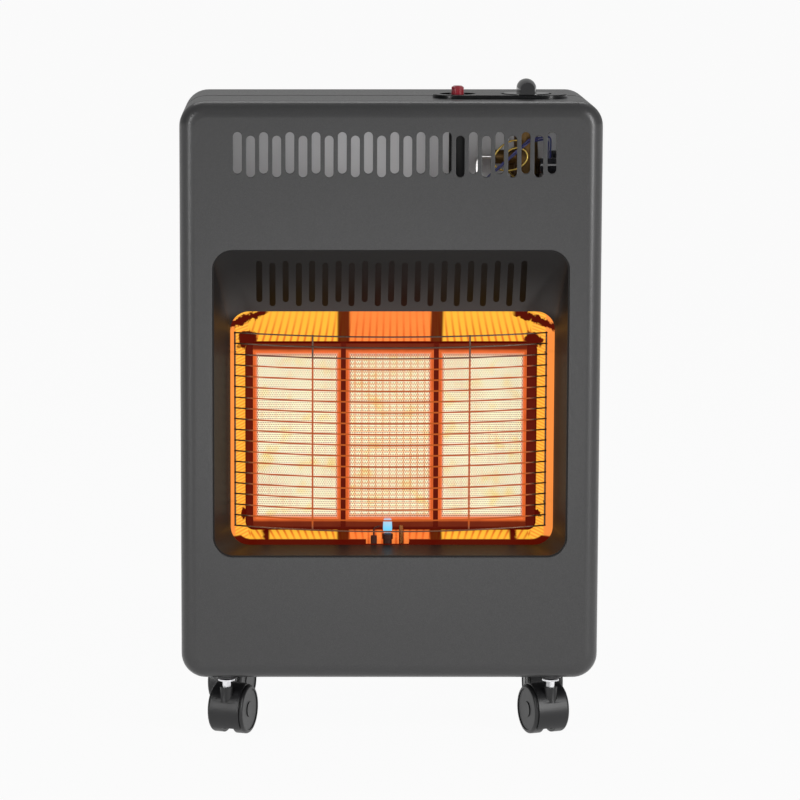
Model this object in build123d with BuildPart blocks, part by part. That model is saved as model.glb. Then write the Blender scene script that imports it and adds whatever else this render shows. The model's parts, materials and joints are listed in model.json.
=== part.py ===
"""Portable radiant gas heater: a sheet-steel cabinet on four twin-wheel casters.

Three ceramic burners stand behind a wire guard in a flared surround. The frame is +Z up, in
millimetres, with the front facing -Y, +X to the right of somebody looking at the front, and the
origin on the floor below the middle of the bounding box.
"""

import os
from math import asin, cos, degrees, radians, sin, sqrt

from build123d import *

# ---------------------------------------------------------------- driving dimensions
# Cabinet
cabinet_width = 420.0
cabinet_depth = 208.0
cabinet_height = 582.5
cabinet_bottom_z = 66.0
corner_radius = 25.0
front_edge_radius = 16.0
back_edge_radius = 4.0
seam_edge_radius = 2.5
sheet = 1.0
front_depth = 99.0
seam_width = 8.0
seam_inset = 5.0
lip_width = 14.0

# Row of slots above the window
slot_count = 25
slot_pitch = 12.95
slot_width = 8.6
slot_height = 41.0
slot_row_x = 3.3
slot_row_drop = 52.2
slot_stagger = 3.6
formed_edge = 0.8

# Window and radiant surround
window_side = 32.5
window_height = 309.5
window_radius = 20.0
window_mid_z = 346.8
mouth_gap = 1.5
surround_wall = 0.8
surround_flange = 8.0
surround_depth = 44.0
collar_length = 4.0
opening_flare = 14.0
opening_height = 239.3
opening_radius = 19.0
opening_x = 3.0
opening_mid_z = 315.3
surround_slot_count = 21
surround_slot_pitch = 13.2
surround_slot_width = 6.0
surround_slot_x = 1.0
surround_slot_low_z = (445.2, 440.7)
surround_slot_high_z = (490.1, 488.0)

# Reflector and burners
reflector_wall = 0.6
reflector_gap = 0.3
reflector_depth = 70.0
reflector_sleeve = 4.0
reflector_flare = 16.5
reflector_back_height = 191.0
reflector_back_radius = 8.0
reflector_back_x = 2.2
reflector_back_z = 303.9
reflector_rim = 12.0
reflector_foot = 14.0
burner_count = 3
burner_side_room = 11.1
burner_space = 5.6
burner_row_x = 1.0
burner_mid_z = 305.0
burner_height = 188.0
burner_proud = 2.5
burner_wall = 1.0
burner_face_rim = 2.1
burner_face_height = 172.0
burner_flange = 2.4
plaque_thickness = 12.0
plaque_gap = 0.3
gasket_thickness = 2.5
gasket_width = 4.0
bar_height = 14.0
bar_spacing = 110.0
venturi_radius = 8.0
venturi_length = 42.0
venturi_mouth_radius = 11.0
jet_gap = 4.0
jet_height = 14.0
jet_across = 11.0

# Wire guard
guard_wire_count = 19
guard_top_z = 414.1
guard_pitch = 10.93
guard_side_gap = 6.0
guard_inner_upright = 79.0
guard_end_depth = 41.0
guard_mid_depth = 4.5
guard_wire_radius = 0.75
guard_upright_radius = 0.9
guard_hook_length = 17.0
guard_hook_wires = (2, 16)
weld_gap = 0.02

# Controls on the top
control_depth = 69.0
plate_inset = 99.5
plate_length = 135.0
plate_width = 54.0
plate_height = 3.8
igniter_inset = 142.0
igniter_hole_radius = 17.8
igniter_body_radius = 8.5
igniter_neck_radius = 8.0
igniter_drop = 88.5
igniter_nut_radius = 13.0
igniter_nut_height = 2.0
button_radius = 6.15
button_top = 11.8
button_travel = 5.0
button_spring_length = 18.0
knob_inset = 73.0
knob_hole_radius = 25.2
knob_radius = 23.0
knob_lift = 2.9
knob_disc = 1.5
knob_travel = 2.5
knob_top = 18.9
knob_end_top = 16.1
grip_length = 45.0
grip_mid_width = 19.8
grip_end_width = 14.4
slide_gap = 0.1

# Gas valve
valve_radius = 12.0
valve_drop = 76.5
valve_shoulder_drop = 26.5
valve_neck_radius = 8.0
valve_bore_radius = 6.2
plug_drop = 56.5
plug_length = 20.0
spindle_radius = 3.9
spindle_square = 4.2
port_radius = 4.5
port_drop = 6.0
port_pitch = 10.0
port_depth = 80.0
branch_rise = 17.0
branch_reach = 34.0
branch_radius = 7.0
inlet_rise = 31.0
inlet_radius = 6.0

# Pipes and leads
pipe_radius = 3.0
pipe_bend = 9.0
pipe_inset = 32.0
pipe_step = 8.0
pipe_drop = 38.0
pipe_low_z = 140.0
pipe_low_step = 10.0
pilot_pipe_radius = 2.0
supply_radius = 4.0
nozzle_drop = 88.5
nozzle_radius = 4.0
nozzle_reach = 22.0
nozzle_hex = 14.0
nozzle_hex_height = 5.0

# Pilot group
pilot_x = -1.0
pilot_depth = 60.0
pilot_shelf_z = 190.0
pilot_top_z = 205.0
pilot_radius = 4.5
pilot_spacing = 14.0
electrode_radius = 3.2
thermocouple_radius = 2.4
lead_radius = 1.2
cable_radius = 1.8
wire_radius = 0.9

# Tilt switch
tilt_radius = 8.2
tilt_offset = 13.5
tilt_length = 24.0
tilt_depth = 60.0
tilt_drop = 68.5

# Back panel
louvre_count = 9
louvre_length = 150.0
louvre_width = 6.0
louvre_pitch = 14.0
louvre_low_z = 110.0
louvre_high_drop = 148.5

# Fasteners
screw_radius = 1.9
screw_head_radius = 3.8
screw_head_height = 2.2
screw_length = 3.9
screw_inset = 2.5
hole_gap = 0.3

# Casters
caster_side_inset = 45.0
rear_caster_side_inset = 42.0
caster_inset = 37.0
caster_yaws = {"front_left": -20.0, "front_right": 20.0, "rear_left": -20.0, "rear_right": 4.0}
wheel_radius = 25.0
wheel_width = 11.9
wheel_gap = 14.2
wheel_edge = 3.0
hub_clearance = 0.1
axle_radius = 3.0
caster_trail = 18.0
hood_gap = 0.5
hood_wall = 1.2
hood_width = 31.0
hood_front_z = 8.0
web_width = 8.0
socket_radius = 6.8
socket_top_z = 51.0
socket_bottom_z = 16.0
stem_radius = 3.9
stem_hex = 8.0
stem_flange_radius = 8.5
stem_flange_height = 1.6
thread_radius = 4.0
nut_across = 13.0
nut_height = 6.5
dome_radius = 17.0
dome_drop = 7.0
rail_thickness = 1.5
rail_width = 40.0
rail_side_inset = 27.0
rail_flange = 12.0

# ---------------------------------------------------------------- derived places
front_y = -(cabinet_depth + nozzle_reach) / 2
cabinet_top_z = cabinet_bottom_z + cabinet_height
cabinet_mid_z = cabinet_bottom_z + cabinet_height / 2
slot_row_z = cabinet_top_z - slot_row_drop
igniter_x = cabinet_width / 2 - igniter_inset
knob_x = cabinet_width / 2 - knob_inset
plate_mid_x = cabinet_width / 2 - plate_inset
branch_left_x = knob_x - branch_reach
pipe_right_x = cabinet_width / 2 - pipe_inset
nozzle_x = knob_x
tilt_left_x = knob_x + tilt_offset
caster_x = cabinet_width / 2 - caster_side_inset
rear_caster_x = cabinet_width / 2 - rear_caster_side_inset
rail_length = cabinet_width - 2 * rail_side_inset
louvre_high_z = cabinet_top_z - louvre_high_drop
window_width = cabinet_width - 2 * window_side
opening_width = window_width - 2 * opening_flare
guard_half_width = opening_width / 2 - guard_side_gap
reflector_back_width = opening_width - 2 * reflector_flare
burner_pitch = (reflector_back_width - burner_side_room) / burner_count
burner_width = burner_pitch - burner_space
burner_face_width = burner_width - 2 * burner_face_rim
igniter_bottom_z = cabinet_top_z - igniter_drop
valve_bottom_z = cabinet_top_z - valve_drop
valve_shoulder_z = cabinet_top_z - valve_shoulder_drop
plug_bottom_z = cabinet_top_z - plug_drop
plug_top_z = plug_bottom_z + plug_length
branch_z = valve_bottom_z + branch_rise
inlet_z = valve_bottom_z + inlet_rise
pipe_top_z = valve_bottom_z - pipe_drop
nozzle_z = cabinet_top_z - nozzle_drop
tilt_z = cabinet_top_z - tilt_drop
rear_start = front_depth + seam_width
floor_z = cabinet_bottom_z + sheet
surround_back = sheet + surround_depth
burner_front = reflector_depth - burner_proud
burner_back = front_depth - rail_thickness * 2
burner_bottom_z = burner_mid_z - burner_height / 2
venturi_bottom_z = burner_bottom_z - venturi_length
venturi_depth = (reflector_depth + burner_back) / 2
jet_top_z = venturi_bottom_z - jet_gap
jet_bottom_z = jet_top_z - jet_height
plaque_front = burner_front + burner_wall
guard_bow = guard_end_depth - guard_mid_depth
guard_radius = (guard_half_width**2 + guard_bow**2) / (2 * guard_bow)
guard_centre_depth = guard_mid_depth + guard_radius
guard_end_lean = asin(guard_half_width / guard_radius)
upright_arc = guard_radius - guard_wire_radius - guard_upright_radius - weld_gap
guard_hook_start = (guard_centre_depth - upright_arc * cos(guard_end_lean)
                    + guard_upright_radius + weld_gap)
guard_hook_xs = [burner_row_x + side * upright_arc * sin(guard_end_lean) for side in (-1, 1)]
dome_sphere = (dome_radius**2 + dome_drop**2) / (2 * dome_drop)
dome_centre_z = cabinet_bottom_z - dome_drop + dome_sphere
rear_caster_depth = cabinet_depth - caster_inset
stem_flange_top_z = dome_centre_z - sqrt(dome_sphere**2 - (thread_radius + hole_gap) ** 2)
rail_top_z = floor_z + rail_thickness
burner_names = ("left", "centre", "right")
hood_inner = wheel_radius + hood_gap
hood_outer = hood_inner + hood_wall
axle_z = wheel_radius
caster_places = {
    "front_left": (-caster_x, caster_inset),
    "front_right": (caster_x, caster_inset),
    "rear_left": (-rear_caster_x, rear_caster_depth),
    "rear_right": (rear_caster_x, rear_caster_depth),
}


def y_at(depth):
    """Y of a place this far behind the front face."""
    return front_y + depth


def facing(depth):
    """Plane parallel to the front at a depth, with sketch X to the right and sketch Y up."""
    return Plane(origin=(0, y_at(depth), 0), x_dir=(1, 0, 0), z_dir=(0, -1, 0))


def burner_x(index):
    """X of one burner's centre line."""
    return burner_row_x + (index - (burner_count - 1) / 2) * burner_pitch


def save(part, name):
    """Label a finished part and write it."""
    part.label = name
    export_step(part, f"parts/{name}.step")


def slab(width, height, radius, near, far, x=0.0, z=cabinet_mid_z):
    """Rounded rectangular block between two depths."""
    with BuildPart() as block:
        with BuildSketch(facing(near)):
            with Locations((x, z)):
                RectangleRounded(width, height, radius)
        extrude(amount=near - far)
    return block.part


def case_block(near, far, near_radius, far_radius, inset):
    """Cabinet-shaped block with rounded front and back edges, drawn in by an inset."""
    width = cabinet_width - 2 * inset
    height = cabinet_height - 2 * inset
    with BuildPart() as block:
        add(slab(width, height, corner_radius - inset, near + inset, far - inset))
        fillet(block.faces().sort_by(Axis.Y)[0].edges(), near_radius - inset)
        fillet(block.faces().sort_by(Axis.Y)[-1].edges(), far_radius - inset)
    return block.part


def frustum(near, far, near_size, far_size, grow):
    """Flared block between two rounded openings; a size is (width, height, radius, x, z)."""
    with BuildPart() as block:
        for depth, size in ((near, near_size), (far, far_size)):
            width, height, radius, x, z = size
            with BuildSketch(facing(depth)):
                with Locations((x, z)):
                    RectangleRounded(width + 2 * grow, height + 2 * grow, radius + grow)
        loft()
    return block.part


def post(x, depth, low, high, radius):
    """Upright round post."""
    with BuildPart() as pole:
        with BuildSketch(Plane.XY.offset(low)):
            with Locations((x, y_at(depth))):
                Circle(radius)
        extrude(amount=high - low)
    return pole.part


def rod(x, z, near, far, radius):
    """Round rod that runs straight back between two depths."""
    with BuildPart() as pole:
        with BuildSketch(facing(near)):
            with Locations((x, z)):
                Circle(radius)
        extrude(amount=near - far)
    return pole.part


def tube(points, radius, bend, bore=0.0):
    """Bent round tube along (x, depth, z) points, with one bend radius."""
    route = [(x, y_at(depth), z) for x, depth, z in points]
    start = Vector(*route[0])
    with BuildPart() as run:
        with BuildLine() as path:
            FilletPolyline(*route, radius=bend)
        with BuildSketch(Plane(origin=start, z_dir=Vector(*route[1]) - start)):
            Circle(radius)
            if bore:
                Circle(bore, mode=Mode.SUBTRACT)
        sweep(path=path.line)
    return run.part


def spring(x, depth, low, high, radius, wire, turns):
    """Open coil spring that stands upright."""
    height = high - low - 2 * wire
    with BuildPart() as coil:
        with BuildLine() as path:
            Helix(pitch=height / turns, height=height, radius=radius,
                  center=(x, y_at(depth), low + wire))
        with BuildSketch(Plane(origin=path.line @ 0, z_dir=path.line % 0)):
            Circle(wire)
        sweep(path=path.line, is_frenet=True)
    return coil.part


def screw(x, z, seat, forward):
    """Pan-head screw along the depth; forward is 1 when its shank points to the front."""
    with BuildPart() as fastener:
        add(rod(x, z, min(seat, seat + forward * screw_head_height),
                max(seat, seat + forward * screw_head_height), screw_head_radius))
        add(rod(x, z, min(seat, seat - forward * screw_length),
                max(seat, seat - forward * screw_length), screw_radius))
        rim = fastener.faces().sort_by(Axis.Y)[-1 if forward > 0 else 0]
        fillet(rim.edges(), screw_head_height * 0.4)
    return fastener.part


def caster_holes(places, low, high):
    """Clearance holes for the caster stems at some places."""
    return [post(x, depth, low, high, thread_radius + hole_gap) for x, depth in places]


def dome_parts(places):
    """Pressed domes under the floor at some places: the outer caps and their hollows."""
    caps = []
    for radius, top in ((dome_sphere, cabinet_bottom_z), (dome_sphere - sheet, floor_z)):
        latitude = degrees(asin((dome_centre_z - top) / radius))
        caps.append([
            Pos(x, y_at(depth), dome_centre_z)
            * Sphere(radius, arc_size1=-90, arc_size2=-latitude, align=None)
            for x, depth in places
        ])
    return caps


def frame_screw_places():
    """X and Z of the screws round the cabinet's inner lip."""
    side = cabinet_width / 2 - sheet - lip_width / 2 - screw_inset
    end = cabinet_height / 2 - sheet - lip_width / 2 - screw_inset
    places = [(sx * side, cabinet_mid_z + sz * end * 0.6) for sx in (-1, 1) for sz in (-1, 0, 1)]
    return places + [(sx * side * 0.6, cabinet_mid_z + sz * end) for sx in (-1, 1) for sz in (-1, 1)]


def bar_screw_places():
    """X and Z of the screws that hold the burner bars."""
    return [
        (burner_x(index), burner_mid_z + side * bar_spacing / 2)
        for index in range(burner_count)
        for side in (-1, 1)
    ]


os.makedirs("parts", exist_ok=True)

front_places = [caster_places["front_left"], caster_places["front_right"]]
rear_places = [caster_places["rear_left"], caster_places["rear_right"]]
mouth_size = (window_width - 2 * mouth_gap, window_height - 2 * mouth_gap,
              window_radius - mouth_gap, 0.0, window_mid_z)
opening_size = (opening_width, opening_height, opening_radius, opening_x, opening_mid_z)
reflector_back_size = (reflector_back_width, reflector_back_height, reflector_back_radius,
                       reflector_back_x, reflector_back_z)

# ---------------------------------------------------------------- cabinet
front_caps, front_hollows = dome_parts(front_places)
with BuildPart() as front_panel:
    add(case_block(0, front_depth, front_edge_radius, seam_edge_radius, 0))
    add(front_caps)
    add(case_block(0, front_depth, front_edge_radius, seam_edge_radius, sheet),
        mode=Mode.SUBTRACT)
    add(front_hollows, mode=Mode.SUBTRACT)
    lip_inset = sheet + lip_width
    add(slab(cabinet_width - 2 * lip_inset, cabinet_height - 2 * lip_inset,
             corner_radius - lip_width, front_depth - 2 * sheet, front_depth + sheet),
        mode=Mode.SUBTRACT)
    add(slab(window_width, window_height, window_radius, -sheet, 2 * sheet, z=window_mid_z),
        mode=Mode.SUBTRACT)
    with BuildSketch(facing(0)):
        for index in range(slot_count):
            side = 1 if index % 2 == 0 else -1
            slot_x = slot_row_x + (index - (slot_count - 1) / 2) * slot_pitch
            with Locations((slot_x, slot_row_z + side * slot_stagger / 2)):
                SlotOverall(slot_height, slot_width, rotation=90)
    extrude(amount=-2 * sheet, mode=Mode.SUBTRACT)
    openings = front_panel.faces().sort_by(Axis.Y)[0].inner_wires()
    fillet(openings.edges(), formed_edge)
    add(caster_holes(front_places, cabinet_bottom_z - 2 * dome_drop, floor_z + sheet),
        mode=Mode.SUBTRACT)
    add(post(igniter_x, control_depth, cabinet_top_z - 2 * sheet, cabinet_top_z + sheet,
             igniter_neck_radius + hole_gap), mode=Mode.SUBTRACT)
    add(post(knob_x, control_depth, cabinet_top_z - 2 * sheet, cabinet_top_z + sheet,
             spindle_radius + 4 * hole_gap), mode=Mode.SUBTRACT)
    for hole_x, hole_z in frame_screw_places():
        add(rod(hole_x, hole_z, front_depth - 2 * sheet, front_depth + sheet,
                screw_radius + hole_gap), mode=Mode.SUBTRACT)
save(front_panel.part, "front_panel")

rear_caps, rear_hollows = dome_parts(rear_places)
case_end = cabinet_depth - sheet
with BuildPart() as rear_housing:
    add(case_block(rear_start, case_end, seam_edge_radius, back_edge_radius, 0))
    add(rear_caps)
    add(case_block(rear_start, case_end, seam_edge_radius, back_edge_radius, sheet),
        mode=Mode.SUBTRACT)
    add(rear_hollows, mode=Mode.SUBTRACT)
    add(slab(cabinet_width - 2 * lip_inset, cabinet_height - 2 * lip_inset,
             corner_radius - lip_width, rear_start - sheet, cabinet_depth), mode=Mode.SUBTRACT)
    add(caster_holes(rear_places, cabinet_bottom_z - 2 * dome_drop, floor_z + sheet),
        mode=Mode.SUBTRACT)
    for hole_x, hole_z in frame_screw_places():
        add(rod(hole_x, hole_z, case_end - 2 * sheet, case_end + sheet,
                screw_radius + hole_gap), mode=Mode.SUBTRACT)
save(rear_housing.part, "rear_housing")

# The chassis is a shallow pan between the front panel and the rear housing.
with BuildPart() as chassis_panel:
    chassis_width = cabinet_width - 2 * seam_inset
    chassis_height = cabinet_height - 2 * seam_inset
    add(slab(chassis_width, chassis_height, corner_radius - seam_inset, front_depth, rear_start))
    add(slab(chassis_width - 2 * sheet, chassis_height - 2 * sheet,
             corner_radius - seam_inset - sheet, front_depth + sheet, rear_start + sheet),
        mode=Mode.SUBTRACT)
    add(rod(knob_x, inlet_z, front_depth - sheet, front_depth + 2 * sheet,
            supply_radius + 2 * hole_gap), mode=Mode.SUBTRACT)
    for hole_x, hole_z in frame_screw_places() + bar_screw_places():
        add(rod(hole_x, hole_z, front_depth - sheet, front_depth + 2 * sheet,
                screw_radius + hole_gap), mode=Mode.SUBTRACT)
save(chassis_panel.part, "chassis_panel")

panel_inset = 6.0
with BuildPart() as back_panel:
    add(slab(cabinet_width - 2 * panel_inset, cabinet_height - 2 * panel_inset,
             corner_radius - panel_inset, case_end, cabinet_depth))
    with BuildSketch(facing(case_end)):
        for low_z in (louvre_low_z, louvre_high_z):
            rows = louvre_count if low_z == louvre_low_z else louvre_count // 2
            for row in range(rows):
                for side in (-1, 1):
                    with Locations((side * (louvre_length / 2 + louvre_pitch / 2) - louvre_pitch,
                                    low_z + row * louvre_pitch)):
                        SlotOverall(louvre_length, louvre_width)
    extrude(amount=-2 * sheet, mode=Mode.SUBTRACT)
    add(rod(nozzle_x, nozzle_z, case_end - sheet, cabinet_depth + sheet,
            nozzle_radius + hole_gap), mode=Mode.SUBTRACT)
    for hole_x, hole_z in frame_screw_places():
        add(rod(hole_x, hole_z, case_end - sheet, cabinet_depth + sheet,
                screw_radius + hole_gap), mode=Mode.SUBTRACT)
save(back_panel.part, "back_panel")

with BuildPart() as base_rails:
    for rail_depth, places in ((caster_inset, front_places), (rear_caster_depth, rear_places)):
        near = rail_depth - rail_width / 2
        with BuildSketch(Plane.XY.offset(floor_z)):
            with Locations((0, y_at(rail_depth))):
                Rectangle(rail_length, rail_width)
        extrude(amount=rail_thickness)
        for edge in (near, near + rail_width - rail_thickness):
            with BuildSketch(Plane.XY.offset(floor_z)):
                with Locations((0, y_at(edge + rail_thickness / 2))):
                    Rectangle(rail_length, rail_thickness)
            extrude(amount=rail_flange)
        add(caster_holes(places, floor_z - sheet, rail_top_z + sheet), mode=Mode.SUBTRACT)
save(base_rails.part, "base_rails")

# ---------------------------------------------------------------- radiant surround
collar_end = surround_back + collar_length
with BuildPart() as radiant_surround:
    add(slab(window_width + 2 * surround_flange, window_height + 2 * surround_flange,
             window_radius + surround_flange, sheet, sheet + surround_wall, z=window_mid_z))
    add(frustum(sheet, surround_back, mouth_size, opening_size, surround_wall))
    add(slab(opening_width + 2 * surround_wall, opening_height + 2 * surround_wall,
             opening_radius + surround_wall, surround_back, collar_end, opening_x, opening_mid_z))
    add(frustum(sheet, surround_back, mouth_size, opening_size, 0), mode=Mode.SUBTRACT)
    add(slab(opening_width, opening_height, opening_radius, surround_back, collar_end,
             opening_x, opening_mid_z), mode=Mode.SUBTRACT)
    with BuildSketch(facing(0)):
        for index in range(surround_slot_count):
            low = surround_slot_low_z[index % 2]
            high = surround_slot_high_z[index % 2]
            slot_x = surround_slot_x + (index - (surround_slot_count - 1) / 2) * surround_slot_pitch
            with Locations((slot_x, (low + high) / 2)):
                SlotOverall(high - low, surround_slot_width, rotation=90)
    extrude(amount=-surround_back, mode=Mode.SUBTRACT)
save(radiant_surround.part, "radiant_surround")

# ---------------------------------------------------------------- reflector
sleeve_grow = surround_wall + reflector_gap
sleeve_start = surround_back + collar_length / 2
sleeve_end = sleeve_start + reflector_sleeve
sleeve_size = (opening_width + 2 * sleeve_grow, opening_height + 2 * sleeve_grow,
               opening_radius + sleeve_grow, opening_x, opening_mid_z)
reflector_low_z = reflector_back_z - reflector_back_height / 2 - reflector_foot
reflector_high_z = burner_mid_z + burner_height / 2 + reflector_rim
shelf_width = 2 * pilot_spacing + 16.0
with BuildPart() as reflector:
    add(slab(reflector_back_width + 2 * reflector_wall, reflector_high_z - reflector_low_z,
             2.0, reflector_depth, reflector_depth + reflector_wall, reflector_back_x,
             (reflector_high_z + reflector_low_z) / 2))
    add(frustum(sleeve_end, reflector_depth, sleeve_size, reflector_back_size, reflector_wall))
    add(slab(sleeve_size[0] + 2 * reflector_wall, sleeve_size[1] + 2 * reflector_wall,
             sleeve_size[2] + reflector_wall, sleeve_start, sleeve_end, opening_x, opening_mid_z))
    add(frustum(sleeve_end, reflector_depth, sleeve_size, reflector_back_size, 0),
        mode=Mode.SUBTRACT)
    add(slab(*sleeve_size[:3], sleeve_start, sleeve_end, opening_x, opening_mid_z),
        mode=Mode.SUBTRACT)
    with BuildSketch(facing(reflector_depth)):
        for index in range(burner_count):
            with Locations((burner_x(index), burner_mid_z)):
                Rectangle(burner_width + 2 * reflector_gap, burner_height + 2 * reflector_gap)
    extrude(amount=-2 * reflector_wall, mode=Mode.SUBTRACT)
    with BuildSketch(Plane.XY.offset(pilot_shelf_z)):
        with Locations((pilot_x, y_at(pilot_depth))):
            Rectangle(shelf_width, 14.0)
    extrude(amount=30.0, mode=Mode.SUBTRACT)
    for wire in guard_hook_wires:
        hook_z = guard_top_z - wire * guard_pitch
        for hook_x in guard_hook_xs:
            add(rod(hook_x, hook_z, guard_end_depth,
                    guard_end_depth + guard_hook_length + 2.0,
                    guard_upright_radius + hole_gap), mode=Mode.SUBTRACT)
save(reflector.part, "reflector")

# ---------------------------------------------------------------- burners
cavity_width = burner_width - 2 * burner_wall
cavity_height = burner_height - 2 * burner_wall
plaque_width = cavity_width - 2 * plaque_gap
plaque_height = cavity_height - 2 * plaque_gap
gasket_back = plaque_front + plaque_thickness + gasket_thickness
for index, side_name in enumerate(burner_names):
    x = burner_x(index)
    with BuildPart() as housing:
        add(slab(burner_width, burner_height, 4.0, burner_front, burner_back, x, burner_mid_z))
        add(slab(burner_width + 2 * burner_flange, burner_height + 2 * bar_height, 3.0,
                 reflector_depth + reflector_wall, reflector_depth + reflector_wall + burner_wall,
                 x, burner_mid_z))
        add(post(x, venturi_depth, venturi_bottom_z, burner_bottom_z, venturi_radius))
        add(post(x, venturi_depth, venturi_bottom_z, venturi_bottom_z + 2.0,
                 venturi_mouth_radius))
        add(slab(cavity_width, cavity_height, 3.0, plaque_front, burner_back - burner_wall,
                 x, burner_mid_z), mode=Mode.SUBTRACT)
        add(slab(burner_face_width, burner_face_height, 1.0, burner_front - burner_wall,
                 plaque_front + burner_wall, x, burner_mid_z), mode=Mode.SUBTRACT)
        add(post(x, venturi_depth, venturi_bottom_z - 1.0, burner_bottom_z + 2 * burner_wall,
                 venturi_radius - burner_wall), mode=Mode.SUBTRACT)
        add(slab(cavity_width, cavity_height, 3.0, gasket_back, gasket_back + burner_wall,
                 x, burner_mid_z))
        add(slab(cavity_width - 4 * gasket_width, cavity_height - 4 * gasket_width, 3.0,
                 gasket_back - burner_wall, gasket_back + 2 * burner_wall, x, burner_mid_z),
            mode=Mode.SUBTRACT)
    save(housing.part, f"burner_housing_{side_name}")
    save(slab(plaque_width, plaque_height, 2.0, plaque_front, plaque_front + plaque_thickness,
              x, burner_mid_z), f"ceramic_plaque_{side_name}")

with BuildPart() as plaque_gaskets:
    for index in range(burner_count):
        x = burner_x(index)
        add(slab(plaque_width, plaque_height, 2.0, gasket_back - gasket_thickness, gasket_back,
                 x, burner_mid_z))
        add(slab(plaque_width - 4 * gasket_width, plaque_height - 4 * gasket_width, 2.0,
                 gasket_back - gasket_thickness - 1.0, gasket_back + 1.0, x, burner_mid_z),
            mode=Mode.SUBTRACT)
save(plaque_gaskets.part, "plaque_gaskets")

bar_length = burner_count * burner_pitch
with BuildPart() as burner_bars:
    for side in (-1, 1):
        add(slab(bar_length, bar_height, 2.0, burner_back, front_depth, burner_row_x,
                 burner_mid_z + side * bar_spacing / 2))
    for hole_x, hole_z in bar_screw_places():
        add(rod(hole_x, hole_z, burner_back - 1.0, front_depth + 1.0, screw_radius + hole_gap),
            mode=Mode.SUBTRACT)
save(burner_bars.part, "burner_bars")

with BuildPart() as injector_jets:
    for index in range(burner_count):
        with BuildSketch(Plane.XY.offset(jet_bottom_z)):
            with Locations((burner_x(index), y_at(venturi_depth))):
                RegularPolygon(jet_across / 2, 6, major_radius=False)
        extrude(amount=jet_height - 4.0)
        add(post(burner_x(index), venturi_depth, jet_bottom_z, jet_top_z, venturi_radius / 2))
        add(post(burner_x(index), venturi_depth, jet_bottom_z - 1.0, jet_bottom_z + 5.0,
                 pipe_radius + slide_gap), mode=Mode.SUBTRACT)
        add(post(burner_x(index), venturi_depth, jet_bottom_z, jet_top_z + 1.0, 0.6),
            mode=Mode.SUBTRACT)
save(injector_jets.part, "injector_jets")

# ---------------------------------------------------------------- wire guard
# Wires, uprights and hooks are separate solids that lie a weld's width apart.
with BuildPart() as wire_guard:
    bow_axis = Axis((burner_row_x, y_at(guard_centre_depth), 0), (0, 0, 1))
    for wire in range(guard_wire_count):
        z = guard_top_z - wire * guard_pitch
        with BuildSketch(Plane(origin=(burner_row_x - guard_half_width, y_at(guard_end_depth), z),
                               x_dir=(-sin(guard_end_lean), -cos(guard_end_lean), 0),
                               z_dir=(cos(guard_end_lean), -sin(guard_end_lean), 0))):
            Circle(guard_wire_radius)
        revolve(axis=bow_axis, revolution_arc=2 * degrees(guard_end_lean))
    bottom = guard_top_z - (guard_wire_count - 1) * guard_pitch - guard_wire_radius
    for offset_x in (-guard_half_width, -guard_inner_upright, guard_inner_upright, guard_half_width):
        lean = asin(offset_x / guard_radius)
        add(post(burner_row_x + upright_arc * sin(lean), guard_centre_depth - upright_arc * cos(lean),
                 bottom, guard_top_z + guard_wire_radius, guard_upright_radius))
    for hook_x in guard_hook_xs:
        for wire in guard_hook_wires:
            add(rod(hook_x, guard_top_z - wire * guard_pitch, guard_hook_start,
                    guard_end_depth + guard_hook_length, guard_upright_radius))
save(wire_guard.part, "wire_guard")

# ---------------------------------------------------------------- controls
plate_top_z = cabinet_top_z + plate_height
with BuildPart() as control_plate:
    with BuildSketch(Plane.XY.offset(cabinet_top_z)):
        with Locations((plate_mid_x, y_at(control_depth))):
            SlotOverall(plate_length, plate_width)
    extrude(amount=plate_height)
    fillet(control_plate.faces().sort_by(Axis.Z)[-1].edges(), 1.2)
    add(post(igniter_x, control_depth, cabinet_top_z - 1.0, plate_top_z + 1.0,
             igniter_hole_radius), mode=Mode.SUBTRACT)
    add(post(knob_x, control_depth, cabinet_top_z - 1.0, plate_top_z + 1.0, knob_hole_radius),
        mode=Mode.SUBTRACT)
save(control_plate.part, "control_plate")

under_top_z = cabinet_top_z - sheet
button_floor_z = cabinet_top_z - 16.0
button_bottom_z = button_floor_z
spring_floor_z = button_floor_z - button_spring_length
with BuildPart() as igniter_body:
    add(post(igniter_x, control_depth, igniter_bottom_z, under_top_z, igniter_body_radius))
    add(post(igniter_x, control_depth, under_top_z - 3.0, under_top_z, igniter_neck_radius + 3.5))
    add(post(igniter_x, control_depth, under_top_z, cabinet_top_z + 3.2, igniter_neck_radius))
    add(post(igniter_x, control_depth, spring_floor_z, cabinet_top_z + 4.0,
             button_radius + slide_gap), mode=Mode.SUBTRACT)
save(igniter_body.part, "igniter_body")

with BuildPart() as igniter_nut:
    add(post(igniter_x, control_depth, cabinet_top_z, cabinet_top_z + igniter_nut_height,
             igniter_nut_radius))
    with BuildSketch(Plane.XY.offset(cabinet_top_z)):
        with Locations((igniter_x, y_at(control_depth))):
            with PolarLocations(igniter_nut_radius, 8):
                Circle(1.6)
    extrude(amount=igniter_nut_height + 1.0, mode=Mode.SUBTRACT)
    add(post(igniter_x, control_depth, cabinet_top_z - 1.0, cabinet_top_z + 5.0,
             igniter_neck_radius + slide_gap / 2), mode=Mode.SUBTRACT)
save(igniter_nut.part, "igniter_nut")

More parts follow.
